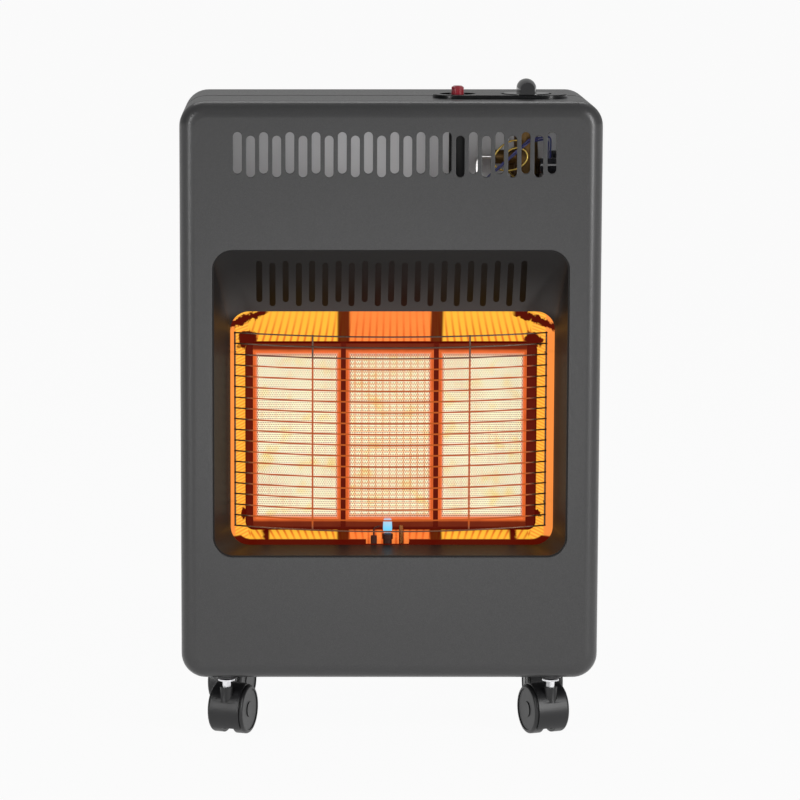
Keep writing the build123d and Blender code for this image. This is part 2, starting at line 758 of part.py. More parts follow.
button_top_z = cabinet_top_z + button_top
with BuildPart() as igniter_button:
    add(post(igniter_x, control_depth, button_bottom_z, button_top_z, button_radius))
    chamfer(igniter_button.faces().sort_by(Axis.Z)[-1].edges(), 1.4, 2.2)
    with BuildSketch(Plane.XY.offset(cabinet_top_z + plate_height)):
        with Locations((igniter_x, y_at(control_depth))):
            with PolarLocations(button_radius + 0.2, 20):
                Circle(0.55)
    extrude(amount=button_top, mode=Mode.SUBTRACT)
save(igniter_button.part, "igniter_button")
save(spring(igniter_x, control_depth, spring_floor_z, button_bottom_z, button_radius - 1.4, 0.5, 6),
     "igniter_spring")

with BuildPart() as control_knob:
    add(post(knob_x, control_depth, cabinet_top_z + knob_lift,
             cabinet_top_z + knob_lift + knob_disc, knob_radius))
    # The grip is an arch that narrows and drops towards both ends.
    for offset_y, width, top in ((-grip_length / 2, grip_end_width, knob_end_top),
                                 (0, grip_mid_width, knob_top),
                                 (grip_length / 2, grip_end_width, knob_end_top)):
        with BuildSketch(Plane(origin=(knob_x, y_at(control_depth) + offset_y, cabinet_top_z),
                               x_dir=(1, 0, 0), z_dir=(0, -1, 0))):
            with BuildLine():
                half = width / 2
                Line((-half, top - half), (-half, knob_lift))
                Line((-half, knob_lift), (half, knob_lift))
                Line((half, knob_lift), (half, top - half))
                ThreePointArc((half, top - half), (0, top), (-half, top - half))
            make_face()
    loft()
    add(post(knob_x, control_depth, cabinet_top_z, cabinet_top_z + knob_end_top - 4.0,
             spindle_radius + 0.05), mode=Mode.SUBTRACT)
save(control_knob.part, "control_knob")

# ---------------------------------------------------------------- gas valve
gland_z = under_top_z - 11.5
collar_top_z = gland_z - 0.3
collar_low_z = collar_top_z - 2.2
spindle_low_z = plug_bottom_z + 7.5
with BuildPart() as gas_valve:
    add(post(knob_x, control_depth, valve_bottom_z, valve_shoulder_z, valve_radius))
    add(post(knob_x, control_depth, valve_shoulder_z, under_top_z, valve_neck_radius))
    add(post(knob_x, control_depth, valve_bottom_z - 6.0, valve_bottom_z, inlet_radius))
    with BuildSketch(Plane(origin=(branch_left_x, y_at(control_depth), branch_z),
                           x_dir=(0, 1, 0), z_dir=(1, 0, 0))):
        Circle(branch_radius)
    extrude(amount=knob_x - branch_left_x)
    add(rod(knob_x, inlet_z, control_depth, control_depth + valve_radius + 5.0, inlet_radius))
    with BuildSketch(Plane.XY.offset(valve_bottom_z)):
        with Locations((knob_x, y_at(port_depth))):
            Rectangle(2 * port_pitch + 3 * port_radius, 2.6 * port_radius)
    extrude(amount=14.0)
    for step in (-1, 0, 1):
        add(post(knob_x + step * port_pitch, port_depth, valve_bottom_z - port_drop,
                 valve_bottom_z, port_radius))
        add(post(knob_x + step * port_pitch, port_depth, valve_bottom_z - port_drop - 1.0,
                 valve_bottom_z - 1.0, pipe_radius + slide_gap), mode=Mode.SUBTRACT)
    add(post(knob_x, control_depth, plug_bottom_z, gland_z, valve_bore_radius),
        mode=Mode.SUBTRACT)
    add(post(knob_x, control_depth, gland_z - 1.0, under_top_z + 1.0,
             spindle_radius + slide_gap), mode=Mode.SUBTRACT)
    add(rod(knob_x, inlet_z, control_depth + valve_radius + 1.0,
            control_depth + valve_radius + 6.0, supply_radius + slide_gap), mode=Mode.SUBTRACT)
    with BuildSketch(Plane(origin=(branch_left_x - 1.0, y_at(control_depth), branch_z),
                           x_dir=(0, 1, 0), z_dir=(1, 0, 0))):
        Circle(pilot_pipe_radius + slide_gap)
    extrude(amount=6.0, mode=Mode.SUBTRACT)
save(gas_valve.part, "gas_valve")

with BuildPart() as valve_plug:
    add(post(knob_x, control_depth, plug_bottom_z + 0.1, plug_top_z,
             valve_bore_radius - slide_gap))
    with BuildSketch(Plane.XY.offset(plug_bottom_z + 4.0)):
        with Locations((knob_x, y_at(control_depth))):
            Rectangle(spindle_square + 2 * slide_gap, spindle_square + 2 * slide_gap)
    extrude(amount=plug_top_z - plug_bottom_z, mode=Mode.SUBTRACT)
save(valve_plug.part, "valve_plug")

with BuildPart() as valve_spindle:
    with BuildSketch(Plane.XY.offset(spindle_low_z)):
        with Locations((knob_x, y_at(control_depth))):
            Rectangle(spindle_square, spindle_square)
    extrude(amount=plug_top_z + 3.5 - spindle_low_z)
    add(post(knob_x, control_depth, plug_top_z + 3.5, collar_low_z, spindle_radius - 0.9))
    add(post(knob_x, control_depth, collar_low_z, collar_top_z, valve_bore_radius - 2 * slide_gap))
    add(post(knob_x, control_depth, collar_top_z, cabinet_top_z + knob_end_top - 4.2,
             spindle_radius))
save(valve_spindle.part, "valve_spindle")
save(spring(knob_x, control_depth, plug_top_z, collar_low_z, 4.6, 0.45, 6), "spindle_spring")

# ---------------------------------------------------------------- pipes and gas inlet
with BuildPart() as burner_pipes:
    for index in range(burner_count):
        step = index - 1
        right_x = pipe_right_x + (burner_count - 1 - index) * pipe_step
        port_x = knob_x - step * port_pitch
        top_z = pipe_top_z + (burner_count - 1 - index) * pipe_step
        low_z = pipe_low_z - (burner_count - 1 - index) * pipe_low_step
        add(tube([
            (port_x, port_depth, valve_bottom_z - 1.0),
            (port_x, port_depth, top_z),
            (right_x, port_depth, top_z),
            (right_x, venturi_depth, low_z),
            (burner_x(index), venturi_depth, low_z),
            (burner_x(index), venturi_depth, jet_bottom_z + 5.0),
        ], pipe_radius, pipe_bend * 0.8, pipe_radius - 1.0))
save(burner_pipes.part, "burner_pipes")

with BuildPart() as inlet_pipe:
    add(tube([
        (knob_x, control_depth + valve_radius + 1.0, inlet_z),
        (knob_x, front_depth + 32.0, inlet_z),
        (nozzle_x, case_end - 42.0, nozzle_z),
        (nozzle_x, case_end - 4.0, nozzle_z),
    ], supply_radius, 16.0, supply_radius - 1.0))
save(inlet_pipe.part, "inlet_pipe")

with BuildPart() as inlet_nozzle:
    add(rod(nozzle_x, nozzle_z, case_end - 4.0, cabinet_depth + nozzle_reach, nozzle_radius))
    with BuildSketch(facing(cabinet_depth)):
        with Locations((nozzle_x, nozzle_z)):
            RegularPolygon(nozzle_hex / 2, 6, major_radius=False)
    extrude(amount=-nozzle_hex_height)
    with BuildSketch(facing(case_end - 3.0)):
        with Locations((nozzle_x, nozzle_z)):
            RegularPolygon(nozzle_hex / 2, 6, major_radius=False)
    extrude(amount=-3.0)
    chamfer(inlet_nozzle.faces().sort_by(Axis.Y)[-1].edges(), 0.8)
    add(rod(nozzle_x, nozzle_z, case_end - 5.0, cabinet_depth + nozzle_reach + 1.0, 2.5),
        mode=Mode.SUBTRACT)
save(inlet_nozzle.part, "inlet_nozzle")

# ---------------------------------------------------------------- pilot group
bracket_wall = 1.2
pilot_bottom_z = pilot_shelf_z - 14.0
bracket_back = reflector_depth
with BuildPart() as pilot_bracket:
    with BuildSketch(Plane.XY.offset(pilot_shelf_z - bracket_wall)):
        with Locations((pilot_x, y_at((pilot_depth - 7.0 + bracket_back) / 2))):
            Rectangle(shelf_width, bracket_back - pilot_depth + 7.0)
    extrude(amount=bracket_wall)
    with BuildSketch(facing(bracket_back)):
        with Locations((pilot_x, pilot_shelf_z + 5.0)):
            Rectangle(shelf_width, 10.0)
    extrude(amount=bracket_wall)
    for offset_x, radius in ((-pilot_spacing, electrode_radius), (0, pilot_radius),
                             (pilot_spacing, thermocouple_radius)):
        add(post(pilot_x + offset_x, pilot_depth, pilot_shelf_z - 3.0, pilot_shelf_z + 3.0,
                 radius + slide_gap), mode=Mode.SUBTRACT)
save(pilot_bracket.part, "pilot_bracket")

with BuildPart() as pilot_burner:
    add(post(pilot_x, pilot_depth, pilot_bottom_z, pilot_top_z, pilot_radius))
    add(post(pilot_x, pilot_depth, pilot_shelf_z, pilot_shelf_z + 3.0, pilot_radius + 1.5))
    add(post(pilot_x, pilot_depth, pilot_top_z - 5.0, pilot_top_z, pilot_radius + 1.0))
    add(post(pilot_x, pilot_depth, pilot_top_z - 4.0, pilot_top_z + 1.0, pilot_radius - 1.2),
        mode=Mode.SUBTRACT)
    add(post(pilot_x, pilot_depth, pilot_bottom_z - 1.0, pilot_bottom_z + 5.0,
             pilot_pipe_radius + slide_gap), mode=Mode.SUBTRACT)
save(pilot_burner.part, "pilot_burner")

electrode_x = pilot_x - pilot_spacing
with BuildPart() as spark_electrode:
    add(post(electrode_x, pilot_depth, pilot_bottom_z, pilot_top_z - 2.0, electrode_radius))
    add(post(electrode_x, pilot_depth, pilot_shelf_z, pilot_shelf_z + 2.0, electrode_radius + 1.5))
    add(tube([
        (electrode_x, pilot_depth, pilot_top_z - 3.0),
        (electrode_x, pilot_depth, pilot_top_z + 6.0),
        (electrode_x + 6.0, pilot_depth, pilot_top_z + 8.0),
    ], 0.9, 2.5))
save(spark_electrode.part, "spark_electrode")

thermocouple_x = pilot_x + pilot_spacing
thermocouple_low_z = pilot_bottom_z + 2.0
lead_right_x = pipe_right_x + 1.6 * pipe_step
lead_top_z = pipe_top_z - 18.0
lead_low_z = pipe_low_z + 23.0
nut_top_z = valve_bottom_z - 6.0
with BuildPart() as thermocouple:
    add(post(thermocouple_x, pilot_depth, thermocouple_low_z, pilot_top_z + 9.0,
             thermocouple_radius))
    add(post(thermocouple_x, pilot_depth, pilot_shelf_z, pilot_shelf_z + 2.5,
             thermocouple_radius + 1.6))
    add(post(knob_x, control_depth, nut_top_z - 7.0, nut_top_z, inlet_radius + 0.5))
    add(tube([
        (thermocouple_x, pilot_depth, thermocouple_low_z + 1.0),
        (thermocouple_x, pilot_depth, lead_low_z),
        (lead_right_x, control_depth, lead_low_z),
        (lead_right_x, control_depth, lead_top_z),
        (knob_x, control_depth, lead_top_z),
        (knob_x, control_depth, nut_top_z - 6.0),
    ], lead_radius, 7.0))
save(thermocouple.part, "thermocouple")

pilot_pipe_depth = 62.0
pilot_drop_x = branch_left_x - 15.0
with BuildPart() as pilot_pipe:
    add(tube([
        (branch_left_x + 5.0, control_depth, branch_z),
        (pilot_drop_x, control_depth, branch_z),
        (pilot_drop_x, pilot_pipe_depth, branch_z - 28.0),
        (pilot_drop_x, pilot_pipe_depth, pipe_top_z - 8.0),
        (pipe_right_x + 4.0, pilot_pipe_depth, pipe_top_z - 8.0),
        (pipe_right_x + 4.0, pilot_depth, pipe_low_z + 12.0),
        (pilot_x, pilot_depth, pipe_low_z + 12.0),
        (pilot_x, pilot_depth, pilot_bottom_z + 5.0),
    ], pilot_pipe_radius, 6.0))
save(pilot_pipe.part, "pilot_pipe")

cable_left_x = -(cabinet_width / 2 - 22.0)
cable_low_z = pipe_low_z + 5.0
with BuildPart() as igniter_lead:
    add(tube([
        (igniter_x, control_depth, igniter_bottom_z),
        (igniter_x, control_depth, pipe_top_z - 2.0),
        (cable_left_x, control_depth, pipe_top_z - 2.0),
        (cable_left_x, control_depth, cable_low_z),
        (electrode_x, pilot_depth, cable_low_z),
        (electrode_x, pilot_depth, pilot_bottom_z),
    ], cable_radius, 12.0))
save(igniter_lead.part, "igniter_lead")

# ---------------------------------------------------------------- tilt switch
tilt_mid_x = tilt_left_x + tilt_length / 2
with BuildPart() as tilt_switch:
    with BuildSketch(Plane(origin=(tilt_left_x, y_at(tilt_depth), tilt_z),
                           x_dir=(0, 1, 0), z_dir=(1, 0, 0))):
        Circle(tilt_radius)
    extrude(amount=tilt_length)
    fillet(tilt_switch.edges().filter_by(GeomType.CIRCLE), 1.0)
    add(slab(10.0, 8.0, 1.0, tilt_depth, front_depth - 2.0, tilt_mid_x + 5.0, tilt_z))
    add(slab(10.0, 26.0, 1.0, front_depth - 2.0, front_depth, tilt_mid_x + 5.0, tilt_z))
save(tilt_switch.part, "tilt_switch")

# Two insulated wires run side by side from the tilt switch to the thermocouple nut.
with BuildPart() as tilt_switch_wires:
    for offset in (0.0, 2.6):
        add(tube([
            (tilt_mid_x - 4.0 + offset, tilt_depth, tilt_z + tilt_radius + 0.3),
            (tilt_mid_x - 4.0 + offset, tilt_depth - 4.0, tilt_z + 28.0 + offset),
            (knob_x + 2.0, tilt_depth - 10.0, tilt_z + 25.0 + offset),
            (knob_x - 41.5, tilt_depth - 10.0, tilt_z - 13.0 + offset * 0.4),
            (knob_x - 51.0 - offset * 1.2, tilt_depth - 8.0, tilt_z - 33.0 - offset),
            (knob_x - 25.0, tilt_depth, tilt_z - 39.0 - offset),
            (knob_x - 16.0 + offset, tilt_depth + 3.0, nut_top_z - 3.5 - offset * 0.6),
            (knob_x - inlet_radius - 1.2, control_depth - 1.0 + offset * 0.8, nut_top_z - 2.5 - offset),
        ], wire_radius, 4.0))
save(tilt_switch_wires.part, "tilt_switch_wires")

# ---------------------------------------------------------------- fasteners
with BuildPart() as sheet_screws:
    for x, z in frame_screw_places():
        add(screw(x, z, front_depth + sheet, 1))
        add(screw(x, z, cabinet_depth, 1))
    for x, z in bar_screw_places():
        add(screw(x, z, front_depth + sheet, 1))
save(sheet_screws.part, "sheet_screws")

with BuildPart() as caster_nuts:
    for x, depth in caster_places.values():
        with BuildSketch(Plane.XY.offset(rail_top_z)):
            with Locations((x, y_at(depth))):
                RegularPolygon(nut_across / 2, 6, major_radius=False)
                Circle(thread_radius + slide_gap, mode=Mode.SUBTRACT)
        extrude(amount=nut_height)
save(caster_nuts.part, "caster_nuts")

# ---------------------------------------------------------------- casters
# Each piece is made once on its own axes: swivel axis on Z, wheels trailing towards +Y.
axle_plane = Plane(origin=(0, caster_trail, axle_z), x_dir=(0, 1, 0), z_dir=(1, 0, 0))
wheel_start = wheel_gap / 2
wheel_end = wheel_start + wheel_width

with BuildPart() as caster_stem:
    with BuildSketch(Plane.XY.offset(socket_bottom_z + 8.0)):
        Circle(stem_radius)
    extrude(amount=socket_top_z + hole_gap - socket_bottom_z - 8.0)
    with BuildSketch(Plane.XY.offset(socket_top_z + hole_gap)):
        RegularPolygon(stem_hex / 2, 6, major_radius=False)
    extrude(amount=stem_flange_top_z - socket_top_z - hole_gap)
    with BuildSketch(Plane.XY.offset(stem_flange_top_z - stem_flange_height)):
        Circle(stem_flange_radius)
    extrude(amount=stem_flange_height)
    with BuildSketch(Plane.XY.offset(stem_flange_top_z)):
        Circle(thread_radius)
    extrude(amount=rail_top_z + nut_height + 2.0 - stem_flange_top_z)

with BuildPart() as caster_hood:
    with BuildSketch(axle_plane):
        Circle(hood_outer)
    extrude(amount=hood_width / 2, both=True)
    with BuildSketch(axle_plane):
        Circle(hood_inner)
    extrude(amount=hood_width / 2, both=True, mode=Mode.SUBTRACT)
    with BuildSketch(axle_plane):
        Circle(hood_inner + hood_wall / 2)
    extrude(amount=web_width / 2, both=True)
    with BuildSketch(axle_plane):
        Circle(axle_radius + 3.0)
    extrude(amount=wheel_start - hole_gap, both=True)
    with BuildSketch(Plane.XY.offset(socket_bottom_z)):
        Circle(socket_radius)
    extrude(amount=socket_top_z - socket_bottom_z)
    # The hood stops short of the floor in front and is open below and behind.
    with BuildSketch(Plane(origin=(0, caster_trail, axle_z), x_dir=(0, 1, 0), z_dir=(1, 0, 0))):
        with BuildLine():
            low = hood_front_z - axle_z
            Polyline(
                (-2 * wheel_radius, low), (-axle_radius, low),
                (0, -axle_radius - 3.0), (axle_radius + 4.0, -axle_radius), (2 * wheel_radius, 11.0),
                (2 * wheel_radius, -2 * wheel_radius), (-2 * wheel_radius, -2 * wheel_radius),
                close=True,
            )
        make_face()
    extrude(amount=hood_width, both=True, mode=Mode.SUBTRACT)
    with BuildSketch(Plane.XY.offset(socket_bottom_z + 7.0)):
        Circle(stem_radius + slide_gap)
    extrude(amount=socket_top_z, mode=Mode.SUBTRACT)
    with BuildSketch(axle_plane):
        Circle(axle_radius + 0.05)
    extrude(amount=hood_width, both=True, mode=Mode.SUBTRACT)

with BuildPart() as caster_axle:
    with BuildSketch(axle_plane):
        Circle(axle_radius)
    extrude(amount=wheel_end - 1.2, both=True)

wheels = {}
for side_name, side in (("left", -1), ("right", 1)):
    with BuildPart() as wheel:
        with BuildSketch(axle_plane.offset(side * wheel_start)):
            Circle(wheel_radius)
        extrude(amount=side * wheel_width)
        outer_face = wheel.faces().sort_by(Axis.X)[-1 if side > 0 else 0]
        fillet(outer_face.edges(), wheel_edge)
        with BuildSketch(axle_plane.offset(side * wheel_end)):
            Circle(wheel_radius - wheel_edge - 0.8)
            Circle(axle_radius + 5.0, mode=Mode.SUBTRACT)
        extrude(amount=-side * 0.8, mode=Mode.SUBTRACT)
        with BuildSketch(axle_plane.offset(side * wheel_start)):
            Circle(wheel_radius - 3.0)
            Circle(axle_radius + 3.0, mode=Mode.SUBTRACT)
        extrude(amount=side * (wheel_width - 3.0), mode=Mode.SUBTRACT)
        with BuildSketch(axle_plane.offset(side * wheel_start)):
            Circle(axle_radius + hub_clearance)
        extrude(amount=side * (wheel_width - 1.0), mode=Mode.SUBTRACT)
    wheels[side_name] = wheel.part

for corner, (x, depth) in caster_places.items():
    place = Location((x, y_at(depth), 0), (0, 0, caster_yaws[corner]))
    save(place * caster_stem.part, f"caster_{corner}_stem")
    save(place * caster_hood.part, f"caster_{corner}_hood")
    save(place * caster_axle.part, f"caster_{corner}_axle")
    for side_name in wheels:
        save(place * wheels[side_name], f"caster_{corner}_wheel_{side_name}")
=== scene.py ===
"""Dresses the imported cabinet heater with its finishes, small fittings, studio and camera."""

import json
import logging
import math
from dataclasses import dataclass, field
from enum import Enum

import bmesh
import bpy
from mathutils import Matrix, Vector

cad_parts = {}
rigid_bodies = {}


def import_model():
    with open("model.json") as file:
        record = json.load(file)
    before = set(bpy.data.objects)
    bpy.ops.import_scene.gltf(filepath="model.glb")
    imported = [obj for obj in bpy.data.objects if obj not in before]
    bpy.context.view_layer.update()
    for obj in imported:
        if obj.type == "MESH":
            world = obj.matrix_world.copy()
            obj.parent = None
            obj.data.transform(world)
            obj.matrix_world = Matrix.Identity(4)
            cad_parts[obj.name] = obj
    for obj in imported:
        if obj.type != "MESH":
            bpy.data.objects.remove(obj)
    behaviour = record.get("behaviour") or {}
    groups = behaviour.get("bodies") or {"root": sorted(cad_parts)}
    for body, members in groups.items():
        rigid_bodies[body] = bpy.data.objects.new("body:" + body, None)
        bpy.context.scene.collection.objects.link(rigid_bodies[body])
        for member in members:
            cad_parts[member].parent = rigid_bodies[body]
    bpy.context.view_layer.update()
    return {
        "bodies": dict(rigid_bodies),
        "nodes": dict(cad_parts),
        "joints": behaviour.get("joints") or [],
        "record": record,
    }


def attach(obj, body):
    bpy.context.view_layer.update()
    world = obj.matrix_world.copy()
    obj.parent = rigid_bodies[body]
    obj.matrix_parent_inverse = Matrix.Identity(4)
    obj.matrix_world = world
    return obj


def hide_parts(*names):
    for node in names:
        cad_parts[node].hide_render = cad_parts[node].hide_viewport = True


log = logging.getLogger("heater")
Number = float | int
Colour = tuple[float, float, float]
Point = tuple[float, float, float]

FRONT_Y = -0.115
ROW_X = 0.001
BURNER_PITCH = 0.0943
BURNER_Z = 0.305
FAINT_RELIEF = 0.00002
RELIEF = 0.00003
CABINET = "cabinet"
CORNERS = ("front_left", "front_right", "rear_left", "rear_right")
BURNERS = ("left", "centre", "right")


class Ray(str, Enum):
    """The rays that see the room and the floor at full strength."""

    CAMERA = "Is Camera Ray"
    GLOSSY = "Is Glossy Ray"
    TRANSMISSION = "Is Transmission Ray"


class Socket:
    """A shader socket that takes part in Python arithmetic."""

    def __init__(self, network: "Network", link: bpy.types.NodeSocket) -> None:
        """Keeps the network that owns the socket, so that operators can add nodes to it."""
        self.network = network
        self.link = link

    def math(self, operation: str, *others: "Socket | Number", flip: bool = False) -> "Socket":
        """Adds one Math node.

        Args:
            operation: The Math node's operation.
            others: Further operands.
            flip: Whether this socket is the second operand.

        Returns:
            The node's result.
        """
        values = [self, *others]
        if flip:
            values.reverse()
        node = self.network.node("ShaderNodeMath", {"operation": operation}, *values)
        return Socket(self.network, node.outputs[0])

    def __add__(self, other: "Socket | Number") -> "Socket":
        """Sum."""
        return self.math("ADD", other)

    def __sub__(self, other: "Socket | Number") -> "Socket":
        """Difference."""
        return self.math("SUBTRACT", other)

    def __rsub__(self, other: "Socket | Number") -> "Socket":
        """Difference from a plain number."""
        return self.math("SUBTRACT", other, flip=True)

    def __mul__(self, other: "Socket | Number") -> "Socket":
        """Product."""
        return self.math("MULTIPLY", other)

    def __truediv__(self, other: "Socket | Number") -> "Socket":
        """Quotient."""
        return self.math("DIVIDE", other)

    __radd__ = __add__

    def between(self, low: Number, high: Number) -> "Socket":
        """Smooth step from 0 at low to 1 at high.

        Args:
            low: Value that gives 0.
            high: Value that gives 1.

        Returns:
            The stepped value.
        """
        settings = {"interpolation_type": "SMOOTHSTEP"}
        node = self.network.node("ShaderNodeMapRange", settings, self, low, high, 0.0, 1.0)
        return Socket(self.network, node.outputs[0])


class Network:
    """A shader tree that nodes are added to."""

    def __init__(self, tree: bpy.types.ShaderNodeTree) -> None:
        """Keeps the tree."""
        self.tree = tree

    def node(self, kind: str, settings: dict[str, object], *values: object) -> bpy.types.Node:
        """Adds any node.

        Args:
            kind: The node's type.
            settings: Attributes that are set first.
            values: Values or links for its inputs, in order; None leaves one alone.

        Returns:
            The new node.
        """
        node = self.tree.nodes.new(kind)
        for name, value in settings.items():
            setattr(node, name, value)
        for index, value in enumerate(values):
            self.feed(node.inputs[index], value)
        return node

    def feed(self, target: bpy.types.NodeSocket, value: object) -> None:
        """Links or sets one input."""
        if isinstance(value, Socket):
            self.tree.links.new(value.link, target)
        elif value is not None:
            if isinstance(value, tuple) and target.type == "RGBA" and len(value) == 3:
                value = (*value, 1.0)
            target.default_value = value

    def mix(self, factor: Socket | Number, low: Socket | Colour, high: Socket | Colour) -> Socket:
        """Blend of two colours.

        Args:
            factor: 0 gives low and 1 gives high.
            low: First colour.
            high: Second colour.

        Returns:
            The blended colour.
        """
        node = self.tree.nodes.new("ShaderNodeMix")
        node.data_type = "RGBA"
        self.feed(node.inputs[0], factor)
        self.feed(node.inputs[6], low)
        self.feed(node.inputs[7], high)
        return Socket(self, node.outputs[2])

    def white_rays(self) -> Socket:
        """1 for every kind of ray in Ray, 0 for the others."""
        paths = self.tree.nodes.new("ShaderNodeLightPath")
        seen, *others = (Socket(self, paths.outputs[ray.value]) for ray in Ray)
        for other in others:
            seen = seen.math("MAXIMUM", other)
        return seen


class Surface(Network):
    """A material whose Principled shader is fed by a small network."""

    def __init__(self, name: str) -> None:
        """Starts an opaque material.

        Args:
            name: The material's name.
        """
        self.material = bpy.data.materials.new(name)
        self.material.use_nodes = True
        super().__init__(self.material.node_tree)
        self.shader = self.tree.nodes["Principled BSDF"]
        self.output = self.tree.nodes["Material Output"]
        self._place: Socket | None = None

    def place(self) -> Socket:
        """Position on the object, in metres."""
        if self._place is None:
            node = self.tree.nodes.new("ShaderNodeTexCoord")
            self._place = Socket(self, node.outputs["Object"])
        return self._place

    def axes(self) -> tuple[Socket, Socket, Socket]:
        """The three coordinates of the position."""
        node = self.node("ShaderNodeSeparateXYZ", {}, self.place())
        return tuple(Socket(self, out) for out in node.outputs)

    def stretched(self, x: Number, y: Number, z: Number) -> Socket:
        """Position scaled by its own factor along each axis."""
        node = self.node("ShaderNodeVectorMath", {"operation": "MULTIPLY"},
                         self.place(), (x, y, z))
        return Socket(self, node.outputs[0])

    def noise(self, scale: Number, detail: Number = 2.0, rough: Number = 0.5,
              at: Socket | None = None) -> Socket:
        """Noise from 0 to 1.

        Args:
            scale: Lumps to the metre.
            detail: Octaves.
            rough: Weight of the finer octaves.
            at: Position, or None for the object's own.

        Returns:
            The noise's value.
        """
        node = self.node("ShaderNodeTexNoise", {}, at or self.place(), None, scale, detail, rough)
        return Socket(self, node.outputs[0])

    def crystals(self, scale: Number) -> Socket:
        """A shade from 0 to 1 for each Voronoi cell, so many cells to the metre."""
        cells = self.node("ShaderNodeTexVoronoi", {}, self.place(), None, scale)
        shades = self.node("ShaderNodeSeparateColor", {}, Socket(self, cells.outputs["Color"]))
        return Socket(self, shades.outputs[0])

    def bump(self, height: Socket, distance: Number, strength: Number = 1.0) -> None:
        """Feeds a height into the shader's normal.

        Args:
            height: Height from 0 to 1.
            distance: Full height in metres.
            strength: Share of the effect.
        """
        node = self.tree.nodes.new("ShaderNodeBump")
        self.feed(node.inputs["Strength"], strength)
        self.feed(node.inputs["Distance"], distance)
        self.feed(node.inputs["Height"], height)
        self.feed(self.shader.inputs["Normal"], Socket(self, node.outputs[0]))

    def set(self, **sockets: object) -> None:
        """Sets or links the shader's sockets; an underscore stands for a space."""
        for name, value in sockets.items():
            self.feed(self.shader.inputs[name.replace("_", " ")], value)


@dataclass(frozen=True)
class Finish:
    """A finish that pieces share."""

    name: str
    slot: str
    colour: Colour
    roughness: float = 0.4
    metallic: float = 0.0

    def draw(self, surface: Surface) -> None:
        """Fills in the material: faint lumps in colour and gloss."""
        lumps = surface.noise(140.0, 3.0)
        darker = tuple(0.82 * c for c in self.colour)
        surface.set(Base_Color=surface.mix(lumps, darker, self.colour),
                    Roughness=lumps * 0.1 + (self.roughness - 0.05), Metallic=self.metallic)
        surface.bump(surface.noise(1500.0, 2.0), RELIEF)

    def material(self) -> bpy.types.Material:
        """The one material of this finish, made on first use."""
        known = bpy.data.materials.get(self.name)
        if known:
            return known
        surface = Surface(self.name)
        self.draw(surface)
        return surface.material


@dataclass(frozen=True)
class PowderCoat(Finish):
    """Fine leathery powder coat with a paler speckle on its crests."""

    grain: float = 1500.0
    crest: Colour = (0.084, 0.083, 0.084)
    depth: float = 0.00006

    def draw(self, surface: Surface) -> None:
        """Grain drives the height, the colour and the gloss together."""
        grain = surface.noise(self.grain, 3.0, 0.6)
        crests = grain.between(0.42, 0.68)
        surface.set(Base_Color=surface.mix(crests, self.colour, self.crest),
                    Roughness=self.roughness + crests * -0.08)
        surface.bump(grain, self.depth, 0.8)


@dataclass(frozen=True)
class Enamel(Finish):
    """Smooth satin enamel with a faint orange peel, and a painted sheen: paler grey over the top
    slope above the opening.
    """

    peel: float = 220.0
    # Painted sheen: a paler grey that stands in for the light on the top slope above the opening.
    chalk: Colour = (0.085, 0.080, 0.079)
    low: float = 0.425
    near: float = 0.010
    far: float = 0.050
    shine: float = 0.35

    def draw(self, surface: Surface) -> None:
        """Slow waves in the gloss, a shallow peel in the height and a painted sheen over the
        opening.
        """
        _, y, z = surface.axes()
        waves = surface.noise(28.0, 3.0)
        # Painted sheen: share of paler grey on the top slope, growing toward the opening.
        sheen_share = z.between(self.low, self.low + 0.012) * (1.0 - z.between(0.52, 0.53))
        sheen_share = sheen_share * (y - FRONT_Y).between(self.near, self.far)
        plain = surface.mix(waves, tuple(0.85 * c for c in self.colour), self.colour)
        surface.set(Base_Color=surface.mix(sheen_share, plain, self.chalk),
                    Roughness=waves * 0.08 + (self.roughness - 0.04),
                    Specular_IOR_Level=self.shine)
        surface.bump(surface.noise(self.peel, 2.0), FAINT_RELIEF)


@dataclass(frozen=True)
class Galvanised(Finish):
    """Zinc-coated sheet with its crystal spangle."""

    def draw(self, surface: Surface) -> None:
        """Each crystal has its own shade and gloss."""
        shade = surface.crystals(420.0)
        darker = tuple(0.9 * c for c in self.colour)
        surface.set(Base_Color=surface.mix(shade, darker, self.colour),
                    Roughness=shade * 0.1 + (self.roughness - 0.08), Metallic=self.metallic)
        surface.bump(surface.noise(600.0), FAINT_RELIEF)


@dataclass(frozen=True)
class ShieldedSheet(Galvanised):
    """Zinc-coated sheet that keeps its pale colour behind the slots and is painted near-black as
    shade everywhere else.
    """

    # Painted shade: near-black laid on the sheet wherever it is not seen through the slots.
    soot: Colour = (0.012, 0.011, 0.011)
    low: float = 0.530
    high: float = 0.560
    side: float = 0.196

    def draw(self, surface: Surface) -> None:
        """Sheet and painted shade share one network: height and distance from the edge choose."""
        x, _, z = surface.axes()
        # pale: the band behind the slots; the rest of the sheet takes the painted shade.
        pale = z.between(self.low, self.high) * (1.0 - x.math("ABSOLUTE").between(
            self.side, self.side + 0.004))
        pale = pale * (1.0 - z.between(0.632, 0.640))
        cloud = surface.noise(24.0, 3.0)
        clean = surface.mix(cloud, tuple(0.88 * c for c in self.colour), self.colour)
        surface.set(Base_Color=surface.mix(pale, self.soot, clean),
                    Roughness=cloud * 0.1 + self.roughness, Metallic=self.metallic)
        surface.bump(surface.noise(600.0), FAINT_RELIEF)


